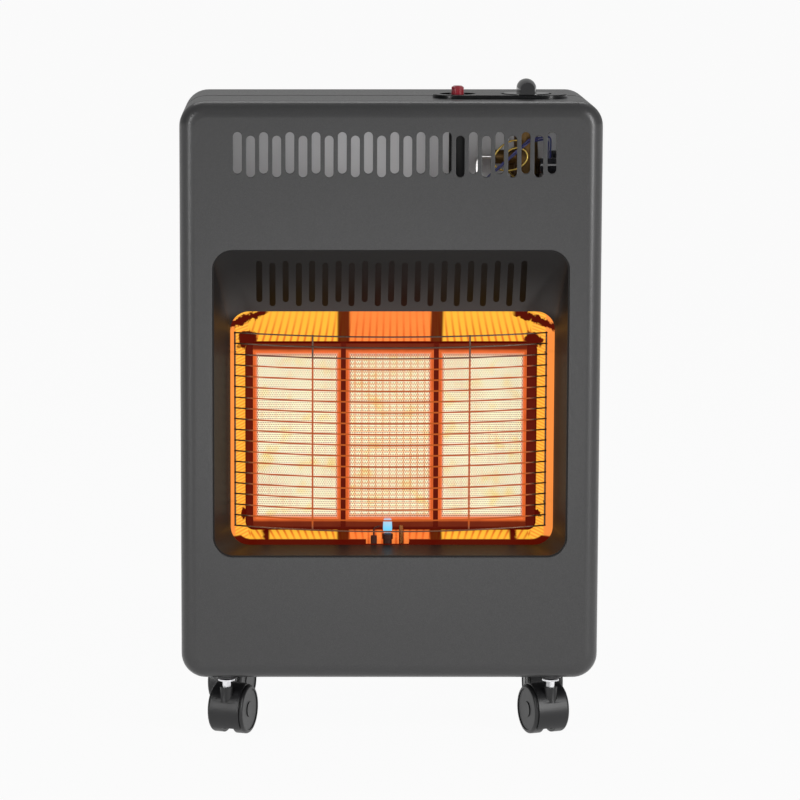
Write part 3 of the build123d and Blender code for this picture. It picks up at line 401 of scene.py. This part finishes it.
@dataclass(frozen=True)
class Drawn(Finish):
    """Metal with fine lines left by drawing or turning, and a few dull stains."""

    along: Point = (900.0, 900.0, 40.0)
    stain: float = 0.6

    def draw(self, surface: Surface) -> None:
        """Lines in the gloss, stains in the colour."""
        lines = surface.noise(1.0, 2.0, 0.5, surface.stretched(*self.along))
        stains = surface.noise(90.0, 3.0).between(0.45, 0.75)
        stained = tuple(self.stain * c for c in self.colour)
        surface.set(Base_Color=surface.mix(stains, self.colour, stained),
                    Roughness=lines * 0.18 + stains * 0.12 + (self.roughness - 0.09),
                    Metallic=self.metallic)
        surface.bump(lines, FAINT_RELIEF)


@dataclass(frozen=True)
class MirrorWithPaintedGlow(Finish):
    """Bright reflector sheet around the plaques, with their striped light painted on its flares as
    emission, and painted shade in the gaps, on the lower lip and on the back plate.
    """

    # These six colours are painted light: the plaques' glow on the reflector, laid on as emission.
    middle: Colour = (1.0, 0.21, 0.05)
    edge: Colour = (0.95, 0.30, 0.06)
    line: Colour = (0.62, 0.075, 0.010)
    plate: Colour = (0.085, 0.003, 0.001)
    pale_side: Colour = (1.0, 0.56, 0.06)
    deep_side: Colour = (0.92, 0.24, 0.025)
    clean_tint: Colour = (0.40, 0.13, 0.025)
    deep_tint: Colour = (0.22, 0.05, 0.010)
    # Dark base colour of the burnt spots, also laid as painted shade in the gaps, on the lip and
    # on the back plate.
    burnt_tint: Colour = (0.030, 0.006, 0.003)
    stripe: float = 0.00708
    lean: float = 4.4
    side_start: float = 0.143
    strip_start: float = 0.156
    lip_reach: float = 0.0575
    lip_z: float = 0.203
    plate_reach: float = 0.0686
    shelf_x: float = -0.001
    shelf_half: float = 0.0225
    shelf_z: float = 0.2065

    def sides(self, surface: Surface, apart: Socket, z: Socket, flare: Socket) -> Socket:
        """Painted light beside the plaques: slanting lines, and a plain strip out at the edge.

        Args:
            surface: The material being drawn.
            apart: Distance from the middle of the burner row.
            z: Height.
            flare: Painted light of the flares above and below.

        Returns:
            The painted light of all four flares.
        """
        wave = ((z + apart * 0.36) * 1900.0).math("SINE").between(-0.2, 0.9)
        lines = surface.mix(wave * 0.75, self.pale_side, self.deep_side)
        strip = apart.between(self.strip_start, self.strip_start + 0.002)
        outer = surface.mix(strip, lines, self.edge)
        return surface.mix(apart.between(self.side_start, self.side_start + 0.0015), flare, outer)

    def burns(self, surface: Surface, apart: Socket, z: Socket) -> Socket:
        """Share of burnt colour: two spots in each corner, and the ends of the lower flare.

        Args:
            surface: The material being drawn.
            apart: Distance from the middle of the burner row.
            z: Height.

        Returns:
            0 for clean sheet, 1 for burnt.
        """
        wobble = (surface.noise(90.0, 4.0, 0.65) - 0.5) * 0.020
        off = (z - BURNER_Z).math("ABSOLUTE")
        above = z.between(BURNER_Z - 0.001, BURNER_Z + 0.001)
        band = (off + apart * 0.42 - 0.1823 + wobble).math("ABSOLUTE")
        crescent = (1.0 - band.between(0.0034, 0.0056)) * apart.between(0.121, 0.127) * above
        near_x, near_z = apart - 0.1475 + above * 0.003, off - 0.080 - above * 0.0185
        spot = (near_x * near_x + near_z * near_z).math("SQRT") + wobble
        spot = 1.0 - (spot / (above * 0.5 + 0.5)).between(0.0075, 0.0105)
        end = apart.between(0.121, 0.124) * (1.0 - (apart + wobble * 0.5).between(0.127, 0.131))
        end = end * off.between(0.0950, 0.0970) * (1.0 - above)
        return crescent.math("MAXIMUM", spot).math("MAXIMUM", end)

    def draw(self, surface: Surface) -> None:
        """Painted light in thirds above and below, painted lines at the sides, burnt corners, and
        painted shade in the gaps, on the lip and on the back plate.
        """
        x, y, z = surface.axes()
        reach = y - FRONT_Y
        share = (x - ROW_X) / BURNER_PITCH + 1.5
        side = (share.math("FRACT") - 0.5) * BURNER_PITCH
        apart = (x - ROW_X).math("ABSOLUTE")
        centred = 1.0 - apart.between(0.038, 0.052)
        gap = side.math("ABSOLUTE").between(0.0395, 0.0425) * (1.0 - apart.between(0.060, 0.070))
        lean = (0.070 - reach) * (x - ROW_X) * self.lean
        mark = (((side + lean) / self.stripe).math("FRACT") - 0.5).math("ABSOLUTE")
        mark = mark.between(0.22, 0.46) * (reach.between(0.050, 0.068) * 0.7 + 0.3)
        flare = surface.mix(centred * 0.9, self.colour, self.middle)
        flare = surface.mix(mark * 0.80, flare, self.line)
        flare = self.sides(surface, apart, z, flare)
        lip = 1.0 - reach.between(self.lip_reach, self.lip_reach + 0.0015)
        lip = lip * (1.0 - z.between(self.lip_z, self.lip_z + 0.002))
        # dark: burnt spots, and painted shade in the gaps, on the lower front lip and on the back
        # plate; the painted light is taken away there.
        dark = (gap * 0.96).math("MAXIMUM", self.burns(surface, apart, z)).math("MAXIMUM", lip)
        # Round the pilot shelf the back plate keeps the painted flare light instead of the painted
        # shade.
        shelf = 1.0 - (x - self.shelf_x).math("ABSOLUTE").between(
            self.shelf_half, self.shelf_half + 0.0005)
        shelf = shelf * (1.0 - z.between(self.shelf_z, self.shelf_z + 0.0005))
        plate = reach.between(self.plate_reach, self.plate_reach + 0.0004)
        dark = dark.math("MAXIMUM", plate * (1.0 - shelf))
        mottle = surface.noise(45.0, 3.0, 0.6)
        tint = surface.mix(mottle, self.clean_tint, self.deep_tint)
        # The emission is painted light: the plaques' glow on the flares, dim maroon where the
        # painted shade lies.
        surface.set(Base_Color=surface.mix(dark, tint, self.burnt_tint),
                    Roughness=mottle * 0.12 + self.roughness, Metallic=self.metallic,
                    Emission_Color=surface.mix(dark, flare, self.plate), Emission_Strength=0.88)
        surface.bump(surface.noise(300.0), RELIEF)


@dataclass(frozen=True)
class GlowingPlaque(Finish):
    """Ceramic honeycomb at full heat: a pale face, its flame holes in rows, and a hot rim."""

    pitch: float = 0.00236
    row: float = 0.00204
    hole: float = 0.00064
    glow: Colour = (1.0, 0.98, 0.70)
    warm: Colour = (1.0, 0.82, 0.30)
    web: Colour = (0.86, 0.27, 0.035)
    ember: Colour = (0.24, 0.030, 0.003)
    late: Colour = (0.72, 0.15, 0.085)
    cool: Colour = (0.045, 0.001, 0.015)
    rim: Colour = (0.78, 0.14, 0.030)
    bore: Colour = (0.004, 0.002, 0.001)
    half_width: float = 0.0408
    half_height: float = 0.0840

    def draw(self, surface: Surface) -> None:
        """Holes in staggered rows, grouped in cells that show most in the middle plaque."""
        x, _, z = surface.axes()
        share = (x - ROW_X) / BURNER_PITCH + 1.5
        side = (share.math("FRACT") - 0.5) * BURNER_PITCH
        high = z - BURNER_Z
        row = high / self.row
        stagger = row.math("FLOOR").math("PINGPONG", 1.0) * 0.5
        across = ((side / self.pitch + stagger).math("FRACT") - 0.5) * self.pitch
        up = (row.math("FRACT") - 0.5) * self.row
        radius = (across * across + up * up).math("SQRT")
        hole = 1.0 - radius.between(self.hole * 0.80, self.hole * 1.30)
        middle = 1.0 - (x - ROW_X).math("ABSOLUTE").between(0.044, 0.050)
        patch = surface.noise(26.0, 3.0).between(0.35, 0.68)
        cell_x = ((side / (3.0 * self.pitch)).math("FRACT") - 0.5).math("ABSOLUTE")
        cell_z = ((high / (2.0 * self.row)).math("FRACT") - 0.5).math("ABSOLUTE")
        web = cell_x.math("MAXIMUM", cell_z).between(0.30, 0.46)
        face = surface.mix(surface.noise(60.0, 2.0).between(0.50, 0.80), self.glow, self.warm)
        face = surface.mix(web * (middle * 0.50 + patch * 0.22), face, self.web)
        edge = side.math("ABSOLUTE").between(0.0386, 0.0406)
        end = high.math("ABSOLUTE").between(0.0800, 0.0830)
        late = edge.math("MAXIMUM", end)
        dark = surface.mix(late, self.ember, self.cool)
        face = surface.mix(late * 0.70, face, self.late)
        face = surface.mix(hole * (patch * 0.12 + 0.82), face, dark)
        beside = side.math("ABSOLUTE").between(self.half_width, self.half_width + 0.0003)
        beyond = high.math("ABSOLUTE").between(self.half_height, self.half_height + 0.0003)
        outside = beside.math("MAXIMUM", beyond)
        pale = surface.mix(hole, self.colour, self.bore)
        surface.set(Base_Color=pale, Roughness=self.roughness, Emission_Strength=1.0,
                    Emission_Color=surface.mix(outside, face, self.rim))
        surface.bump(1.0 - hole, 0.0003)


@dataclass(frozen=True)
class PaintedGlowEdge(Finish):
    """Heat-stained steel with painted orange light beside the plaques, going dark above and below
    them.
    """

    # Painted light: the plaques' glow on the housing lips, laid on as emission.
    glow: Colour = (0.80, 0.14, 0.028)
    dim: Colour = (0.085, 0.003, 0.001)

    def draw(self, surface: Surface) -> None:
        """Patchy painted glow over heat-stained steel."""
        _, _, z = surface.axes()
        patch = surface.noise(60.0, 3.0).between(0.3, 0.8)
        away = (z - BURNER_Z).math("ABSOLUTE").between(0.0865, 0.0895)
        hot = surface.mix(patch * 0.3, self.glow, self.dim)
        # The emission is painted light from the plaques, dim beyond their ends.
        surface.set(Base_Color=self.colour, Roughness=self.roughness, Metallic=self.metallic,
                    Specular_IOR_Level=0.1, Emission_Strength=1.0,
                    Emission_Color=surface.mix(away * 0.9, hot, self.dim))
        surface.bump(surface.noise(500.0), RELIEF)


@dataclass(frozen=True)
class PaintedGlowWire(Finish):
    """Chromed wire that is heat-stained in front of the plaques, with painted orange light on it
    there.
    """

    # Painted light: the plaques' glow on the wire in front of them.
    glow: Colour = (0.46, 0.078, 0.006)
    stained: Colour = (0.05, 0.018, 0.006)

    def draw(self, surface: Surface) -> None:
        """Stain and painted glow over the plaques, plain chrome beyond them."""
        x, _, z = surface.axes()
        wide = 1.0 - (x - ROW_X).math("ABSOLUTE").between(0.134, 0.146)
        tall = 1.0 - (z - BURNER_Z).math("ABSOLUTE").between(0.080, 0.090)
        over = wide * tall
        stains = surface.noise(120.0, 3.0).between(0.35, 0.7)
        # The emission over the plaques is painted light.
        surface.set(Base_Color=surface.mix(over, self.colour, self.stained),
                    Roughness=stains * 0.12 + self.roughness, Metallic=self.metallic,
                    Emission_Color=surface.mix(over, (0.0, 0.0, 0.0), self.glow),
                    Emission_Strength=1.0)


@dataclass(frozen=True)
class Flame(Finish):
    """Blue gas flame that fades toward its tip."""

    low: float = 0.2050
    high: float = 0.2225
    tip: Colour = (0.42, 0.66, 0.86)

    def draw(self, surface: Surface) -> None:
        """Emission all over, with a cover that fades toward the burner and the tip."""
        _, _, z = surface.axes()
        fade = 1.0 - z.between(self.high - 0.005, self.high)
        cover = fade * z.between(self.low, self.low + 0.0045)
        rise = z.between(self.low + 0.004, self.high - 0.003)
        surface.set(Base_Color=(0.0, 0.0, 0.0), Roughness=self.roughness, Alpha=cover * 0.96,
                    Emission_Color=surface.mix(rise, self.colour, self.tip),
                    Emission_Strength=1.0)


@dataclass(frozen=True)
class Moulded(Finish):
    """Moulded plastic with the fine spark grain of its tool."""

    grain: float = FAINT_RELIEF
    shine: float = 0.5

    def draw(self, surface: Surface) -> None:
        """Grain in the height and slow change in the gloss."""
        slow = surface.noise(45.0, 2.0)
        darker = tuple(0.75 * c for c in self.colour)
        surface.set(Base_Color=surface.mix(slow, darker, self.colour),
                    Roughness=slow * 0.1 + (self.roughness - 0.05), Specular_IOR_Level=self.shine)
        surface.bump(surface.noise(2200.0, 2.0), self.grain)


PANEL = PowderCoat("charcoal_powder_coat", "cabinet_paint", (0.052, 0.052, 0.053), 0.34)
SURROUND = Enamel("black_enamel", "surround_paint", (0.018, 0.017, 0.017), 0.46, shine=0.18)
PLATE = Enamel("plate_enamel", "surround_paint", (0.008, 0.008, 0.009), 0.26)
SHEET = Galvanised("zinc_sheet", "galvanised", (0.50, 0.50, 0.51), 0.55, 0.3)
# Its colour is the painted light on the reflector's flares.
REFLECTOR = MirrorWithPaintedGlow("heat_tinted_mirror_painted_glow", "bright_steel", (1.0, 0.54, 0.045), 0.24, 1.0)
PLAQUE = GlowingPlaque("glowing_ceramic", "plaque_ceramic", (0.16, 0.10, 0.05), 0.8)
# Burner housings, with painted light beside the plaques.
PAINTED_GLOW_STEEL = PaintedGlowEdge("steel_with_painted_glow", "bright_steel", (0.020, 0.005, 0.002), 0.6)
FLAME = Flame("pilot_flame", "brass", (0.17, 0.68, 1.0), 0.5)
SHIELD = ShieldedSheet("shielded_sheet", "galvanised", (0.50, 0.50, 0.51), 0.5)
FIBRE = Finish("soft_fibre", "fibre", (0.78, 0.74, 0.66), 0.9)
SOOTED = Finish("sooted_ceramic", "fibre", (0.075, 0.018, 0.010), 0.8)
SCORCHED = Finish("scorched_brass", "brass", (0.060, 0.015, 0.008), 0.55, 0.3)
STEEL = Drawn("drawn_steel", "bright_steel", (0.62, 0.61, 0.60), 0.3, 1.0)
# Guard wire, with painted light in front of the plaques.
GUARD = PaintedGlowWire("chromed_wire", "guard_chrome", (0.12, 0.075, 0.055), 0.34, 0.6)
BRASS = Drawn("turned_brass", "brass", (0.40, 0.28, 0.07), 0.34, 1.0)
# A much darker copy of the brass, for the gas valve seen through the slots.
DARKENED_BRASS = Drawn("darkened_brass", "brass", (0.070, 0.038, 0.010), 0.5, 0.8)
COPPER = Drawn("copper_tube", "copper", (0.36, 0.13, 0.04), 0.34, 1.0)
ZINC = Drawn("zinc_plate", "zinc", (0.80, 0.80, 0.82), 0.3, 1.0)
GLOSS_BLACK = Moulded("gloss_black", "black_gloss", (0.006, 0.006, 0.007), 0.12, grain=0.000004)
# A darker copy of the black plastic for the igniter body: painted shade.
SHADE_DARKENED_BLACK = Moulded("shaded_black", "black_plastic", (0.002, 0.002, 0.002), 0.6, shine=0.15)
BLACK = Moulded("moulded_black", "black_plastic", (0.012, 0.012, 0.013), 0.38)
RED = Moulded("moulded_red", "red_plastic", (0.42, 0.012, 0.03), 0.32)
BLUE = Moulded("blue_insulation", "blue_sheath", (0.003, 0.005, 0.060), 0.42)
SLEEVE = Moulded("silicone_sleeve", "lead_sheath", (0.20, 0.195, 0.19), 0.6, shine=0.2)

NODE_FINISHES: dict[str, Finish] = {
    "front_panel": PANEL, "rear_housing": PANEL, "back_panel": SHEET, "chassis_panel": SHIELD,
    "base_rails": SHEET, "radiant_surround": SURROUND, "reflector": REFLECTOR,
    "plaque_gaskets": FIBRE, "burner_bars": SHEET, "injector_jets": BRASS, "burner_pipes": STEEL,
    "gas_valve": DARKENED_BRASS, "valve_plug": BRASS, "valve_spindle": STEEL, "spindle_spring": STEEL,
    "control_knob": GLOSS_BLACK, "control_plate": PLATE, "igniter_body": SHADE_DARKENED_BLACK,
    "igniter_nut": BLACK, "igniter_button": RED, "igniter_spring": STEEL, "igniter_lead": SLEEVE,
    "spark_electrode": SOOTED, "pilot_burner": SCORCHED, "pilot_bracket": REFLECTOR,
    "pilot_pipe": STEEL, "thermocouple": COPPER, "tilt_switch": GLOSS_BLACK,
    "tilt_switch_wires": BLUE, "wire_guard": GUARD, "inlet_nozzle": BRASS, "inlet_pipe": COPPER,
    "sheet_screws": ZINC, "caster_nuts": ZINC,
}
for burner in BURNERS:
    NODE_FINISHES[f"burner_housing_{burner}"] = PAINTED_GLOW_STEEL
    NODE_FINISHES[f"ceramic_plaque_{burner}"] = PLAQUE
for corner in CORNERS:
    NODE_FINISHES[f"caster_{corner}_stem"] = ZINC
    NODE_FINISHES[f"caster_{corner}_axle"] = ZINC
    for part in ("hood", "wheel_left", "wheel_right"):
        NODE_FINISHES[f"caster_{corner}_{part}"] = BLACK


@dataclass(frozen=True)
class Rim:
    """Rounding of the crisp edges round flat upright faces, between two heights."""

    radius: float
    low: float
    high: float
    segments: int = 3
    joined: bool = False

    def round(self, shape: bmesh.types.BMesh) -> None:
        """Bevels the edges.

        Args:
            shape: The merged copy of a node.
        """
        if self.joined:
            bmesh.ops.dissolve_limit(shape, angle_limit=0.002, verts=shape.verts,
                                     edges=shape.edges)
        edges = {edge for face in shape.faces if face.normal.y < -0.999 for edge in face.edges
                 if edge.calc_face_angle(0.0) > 1.0
                 and all(self.low < vert.co.z < self.high for vert in edge.verts)}
        bmesh.ops.bevel(shape, geom=list(edges), offset=self.radius, segments=self.segments,
                        profile=0.5, affect="EDGES", clamp_overlap=True, material=-1)


@dataclass
class Workshop:
    """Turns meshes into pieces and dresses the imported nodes."""

    frame: dict
    made: list[str] = field(default_factory=list)

    def body_of(self, node: str) -> str:
        """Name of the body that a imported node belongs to."""
        bodies = self.frame["record"]["behaviour"]["bodies"]
        return next(name for name, nodes in bodies.items() if node in nodes)

    def dress(self, node: str, finish: Finish) -> None:
        """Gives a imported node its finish."""
        mesh = self.frame["nodes"][node].data
        mesh.materials.clear()
        mesh.materials.append(finish.material())
        log.info("node %s in %s", node, finish.name)

    def piece(self, name: str, mesh: bpy.types.Mesh, finish: Finish,
              body: str) -> bpy.types.Object:
        """Makes a piece that rides on a body.

        Args:
            name: The piece's name.
            mesh: Its mesh, in the shared frame.
            finish: Its finish.
            body: The body that carries it.

        Returns:
            The new object.
        """
        item = bpy.data.objects.new(name, mesh)
        bpy.context.scene.collection.objects.link(item)
        mesh.materials.clear()
        mesh.materials.append(finish.material())
        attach(item, body)
        self.made.append(name)
        log.info("piece %s in %s", name, finish.name)
        return item

    def skin(self, node: str, finish: Finish, sharp: float = 32.0,
             rim: Rim | None = None) -> bpy.types.Object:
        """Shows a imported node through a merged, smooth-shaded copy.

        Args:
            node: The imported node.
            finish: Its finish.
            sharp: Angle in degrees from which an edge stays crisp.
            rim: How the edges of its flat upright faces are rounded, if they are.

        Returns:
            The copy.
        """
        shape = bmesh.new()
        shape.from_mesh(self.frame["nodes"][node].data)
        bmesh.ops.remove_doubles(shape, verts=shape.verts, dist=0.000002)
        if rim:
            rim.round(shape)
        for face in shape.faces:
            face.smooth = True
        limit = math.radians(sharp)
        for edge in shape.edges:
            edge.smooth = edge.calc_face_angle(math.pi) < limit
        mesh = bpy.data.meshes.new(f"{node}_skin")
        shape.to_mesh(mesh)
        shape.free()
        item = self.piece(f"{node}_skin", mesh, finish, self.body_of(node))
        weights = item.modifiers.new("flat_faces_first", "WEIGHTED_NORMAL")
        weights.keep_sharp = True
        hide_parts(node)
        return item

    def tube(self, name: str, points: list[Vector], radius: float, finish: Finish,
             body: str) -> bpy.types.Object:
        """Makes a smooth round tube through a route.

        Args:
            name: The piece's name.
            points: Control points of its line.
            radius: Tube radius.
            finish: Its finish.
            body: The body that carries it.

        Returns:
            The tube as a mesh piece.
        """
        curve = bpy.data.curves.new(name, "CURVE")
        curve.dimensions = "3D"
        curve.bevel_depth = radius
        curve.bevel_resolution = 4
        curve.use_fill_caps = True
        line = curve.splines.new("NURBS")
        line.points.add(len(points) - 1)
        for control, point in zip(line.points, points):
            control.co = (*point, 1.0)
        line.order_u = 3
        line.use_endpoint_u = True
        line.resolution_u = 8
        holder = bpy.data.objects.new(f"{name}_line", curve)
        bpy.context.scene.collection.objects.link(holder)
        bpy.context.view_layer.update()
        mesh = bpy.data.meshes.new_from_object(holder)
        bpy.data.objects.remove(holder)
        for face in mesh.polygons:
            face.use_smooth = True
        return self.piece(name, mesh, finish, body)


RIMS = {
    "front_panel": Rim(0.0005, 0.545, 0.635),
    "control_knob": Rim(0.0030, 0.6530, 0.700, segments=5, joined=True),
}


@dataclass
class GasFittings:
    """Small fittings seen through the slots, behind the front panel."""

    loop_radius: float = 0.0009
    nut_radius: float = 0.0072
    nut_low: float = 0.5605
    nut_high: float = 0.5695
    nut_x: float = 0.1370
    nut_depth: float = 0.069
    ribs: int = 18
    groove: float = 0.92
    route: tuple[Point, ...] = (
        (0.1325, 0.0574, 0.600), (0.1325, 0.054, 0.606), (0.122, 0.054, 0.607),
        (0.110, 0.054, 0.600), (0.103, 0.054, 0.588), (0.106, 0.052, 0.578),
        (0.118, 0.051, 0.5755), (0.131, 0.052, 0.579), (0.139, 0.054, 0.588),
        (0.136, 0.054, 0.597), (0.126, 0.055, 0.600), (0.116, 0.055, 0.594),
        (0.114, 0.054, 0.584), (0.121, 0.054, 0.5715), (0.129, 0.060, 0.566),
    )

    def build(self, shop: Workshop) -> None:
        """Adds the capillary loop in front of the valve and the ribbed nut under it."""
        points = [Vector((x, FRONT_Y + depth, z)) for x, depth, z in self.route]
        shop.tube("capillary_loop", points, self.loop_radius, BRASS, CABINET)
        shape = bmesh.new()
        made = bmesh.ops.create_cone(shape, cap_ends=True, segments=2 * self.ribs,
                                     radius1=self.nut_radius, radius2=self.nut_radius,
                                     depth=self.nut_high - self.nut_low)
        for index, vert in enumerate(made["verts"]):
            if round(math.atan2(vert.co.y, vert.co.x) / (math.pi / self.ribs)) % 2:
                vert.co.xy *= self.groove
        bmesh.ops.translate(shape, verts=shape.verts,
                            vec=(self.nut_x, FRONT_Y + self.nut_depth,
                                 (self.nut_low + self.nut_high) / 2))
        mesh = bpy.data.meshes.new("ribbed_nut")
        shape.to_mesh(mesh)
        shape.free()
        shop.piece("ribbed_nut", mesh, COPPER, CABINET)


@dataclass
class PilotFlame:
    """The small flame over the pilot burner."""

    place: Point = (-0.001, FRONT_Y + 0.060, 0.0)
    outline: tuple[tuple[float, float], ...] = (
        (0.0030, 0.2050), (0.0043, 0.2068), (0.0047, 0.2115), (0.0044, 0.2180), (0.0030, 0.2225),
    )

    def build(self, shop: Workshop) -> None:
        """Turns the flame's outline about the pilot burner's axis."""
        shape = bmesh.new()
        verts = [shape.verts.new((radius, 0.0, height)) for radius, height in self.outline]
        edges = [shape.edges.new(pair) for pair in zip(verts, verts[1:])]
        bmesh.ops.spin(shape, geom=verts + edges, cent=(0.0, 0.0, 0.0), axis=(0.0, 0.0, 1.0),
                       angle=math.tau, steps=28, use_merge=True)
        bmesh.ops.holes_fill(shape, edges=[e for e in shape.edges if e.is_boundary], sides=40)
        bmesh.ops.recalc_face_normals(shape, faces=shape.faces)
        bmesh.ops.translate(shape, verts=shape.verts, vec=self.place)
        for face in shape.faces:
            face.smooth = True
        mesh = bpy.data.meshes.new("pilot_flame")
        shape.to_mesh(mesh)
        shape.free()
        shop.piece("pilot_flame", mesh, FLAME, CABINET)


@dataclass(frozen=True)
class Lamp:
    """One softbox that the lens doesn't see."""

    name: str
    place: Point
    aim: Point
    size: tuple[float, float]
    watts: float

    def hang(self) -> None:
        """Adds the lamp to the scene, facing its aim."""
        light = bpy.data.lights.new(self.name, "AREA")
        light.shape = "RECTANGLE"
        light.size, light.size_y = self.size
        light.energy = self.watts
        holder = bpy.data.objects.new(self.name, light)
        holder.location = self.place
        way = Vector(self.aim) - Vector(self.place)
        holder.rotation_euler = way.to_track_quat("-Z", "Y").to_euler()
        holder.visible_camera = False
        bpy.context.scene.collection.objects.link(holder)


def inner_lamp(name: str, x: float, width: float, watts: float) -> Lamp:
    """A low strip between the front panel's slots and the sheet behind them."""
    return Lamp(name, (x, FRONT_Y + 0.012, 0.600), (x, FRONT_Y + 0.1, 0.602), (width, 0.02), watts)


MIDDLE = (0.0, 0.0, 0.35)
LAMPS = (
    Lamp("left_softbox", (-2.1, -2.1, 1.2), MIDDLE, (0.35, 2.2), 29.0),
    Lamp("right_softbox", (2.1, -2.1, 1.2), MIDDLE, (0.35, 2.2), 50.0),
    Lamp("rear_softbox", (0.0, 1.7, 2.5), MIDDLE, (2.4, 0.6), 12.0),
    Lamp("low_fill", (0.02, -1.42, 0.16), MIDDLE, (0.5, 0.16), 0.9),
    inner_lamp("slot_fill", 0.0, 0.36, 0.075),
    inner_lamp("valve_fill", 0.105, 0.10, 0.050),
    inner_lamp("switch_fill", 0.166, 0.03, 0.028),
)


@dataclass
class Studio:
    """Camera, lamps, world and floor."""

    focal: float = 166.6
    tilt: float = 8.28
    place: Point = (-0.0937, FRONT_Y - 3.654, 0.8832)
    shift: float = 0.1293
    world_light: float = 0.6
    room_edge: tuple[float, float] = (0.0, 0.75)
    dark_end: Colour = (0.12, 0.12, 0.12)
    bright_end: Colour = (0.36, 0.36, 0.36)
    floor_size: float = 45.0
    floor_white: float = 0.955

    def camera(self) -> None:
        """Sets the camera at the height and distance of a catalogue view."""
        lens = bpy.data.cameras.new("studio_camera")
        lens.lens = self.focal
        lens.sensor_width = 36.0
        lens.shift_x = self.shift
        lens.clip_end = 100.0
        view = bpy.data.objects.new("studio_camera", lens)
        view.location = self.place
        view.rotation_euler = (math.radians(90.0 - self.tilt), 0.0, 0.0)
        bpy.context.scene.collection.objects.link(view)
        bpy.context.scene.camera = view

    def world(self) -> None:
        """A room that is pale behind the heater and dark toward the lens and overhead."""
        world = bpy.data.worlds.new("studio_room")
        world.use_nodes = True
        bpy.context.scene.world = world
        room = Network(world.node_tree)
        shade = room.tree.nodes["Background"]
        way = room.tree.nodes.new("ShaderNodeTexCoord")
        parts = room.node("ShaderNodeSeparateXYZ", {}, Socket(room, way.outputs["Generated"]))
        behind = Socket(room, parts.outputs["Y"]).between(*self.room_edge)
        level = room.white_rays() * (1.0 - self.world_light) + self.world_light
        room.feed(shade.inputs["Strength"], level)
        room.feed(shade.inputs["Color"], room.mix(behind, self.dark_end, self.bright_end))

    def floor(self) -> None:
        """A wide pale floor that reads as white and keeps a soft shadow."""
        shape = bmesh.new()
        bmesh.ops.create_grid(shape, x_segments=1, y_segments=1, size=self.floor_size)
        mesh = bpy.data.meshes.new("floor")
        shape.to_mesh(mesh)
        shape.free()
        floor = bpy.data.objects.new("floor", mesh)
        bpy.context.scene.collection.objects.link(floor)
        surface = Surface("white_floor")
        surface.set(Base_Color=(0.5, 0.5, 0.5), Roughness=0.9, Specular_IOR_Level=0.0)
        glow = surface.node("ShaderNodeEmission", {}, (1.0, 1.0, 1.0), 1.0)
        blend = surface.node("ShaderNodeMixShader", {}, surface.white_rays() * self.floor_white)
        surface.tree.links.new(surface.shader.outputs[0], blend.inputs[1])
        surface.tree.links.new(glow.outputs[0], blend.inputs[2])
        surface.tree.links.new(blend.outputs[0], surface.output.inputs["Surface"])
        mesh.materials.append(surface.material)

    def build(self) -> None:
        """Sets up everything that isn't the heater."""
        self.camera()
        self.world()
        self.floor()
        for lamp in LAMPS:
            lamp.hang()
        bpy.context.scene.view_settings.view_transform = "Standard"


@dataclass
class Heater:
    """The whole heater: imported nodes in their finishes, and the added pieces."""

    frame: dict
    skinned: tuple[str, ...] = (
        "front_panel", "rear_housing", "radiant_surround", "reflector", "control_plate",
        "control_knob", "igniter_button", "igniter_body", "wire_guard", "gas_valve",
        "tilt_switch", "pilot_pipe", "tilt_switch_wires", "thermocouple",
    )

    def build(self) -> None:
        """Dresses every node and adds every piece."""
        shop = Workshop(self.frame)
        casters = tuple(f"caster_{corner}_{part}" for corner in CORNERS
                        for part in ("hood", "wheel_left", "wheel_right", "stem", "axle"))
        for node, finish in NODE_FINISHES.items():
            if node in self.skinned + casters:
                shop.skin(node, finish, rim=RIMS.get(node))
            else:
                shop.dress(node, finish)
        GasFittings().build(shop)
        PilotFlame().build(shop)
        log.info("%d pieces made", len(shop.made))


def main() -> None:
    """Builds the scene in order."""
    logging.basicConfig(level=logging.INFO)
    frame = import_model()
    Heater(frame).build()
    Studio().build()
    bpy.context.view_layer.update()


if __name__ == "__main__":
    main()
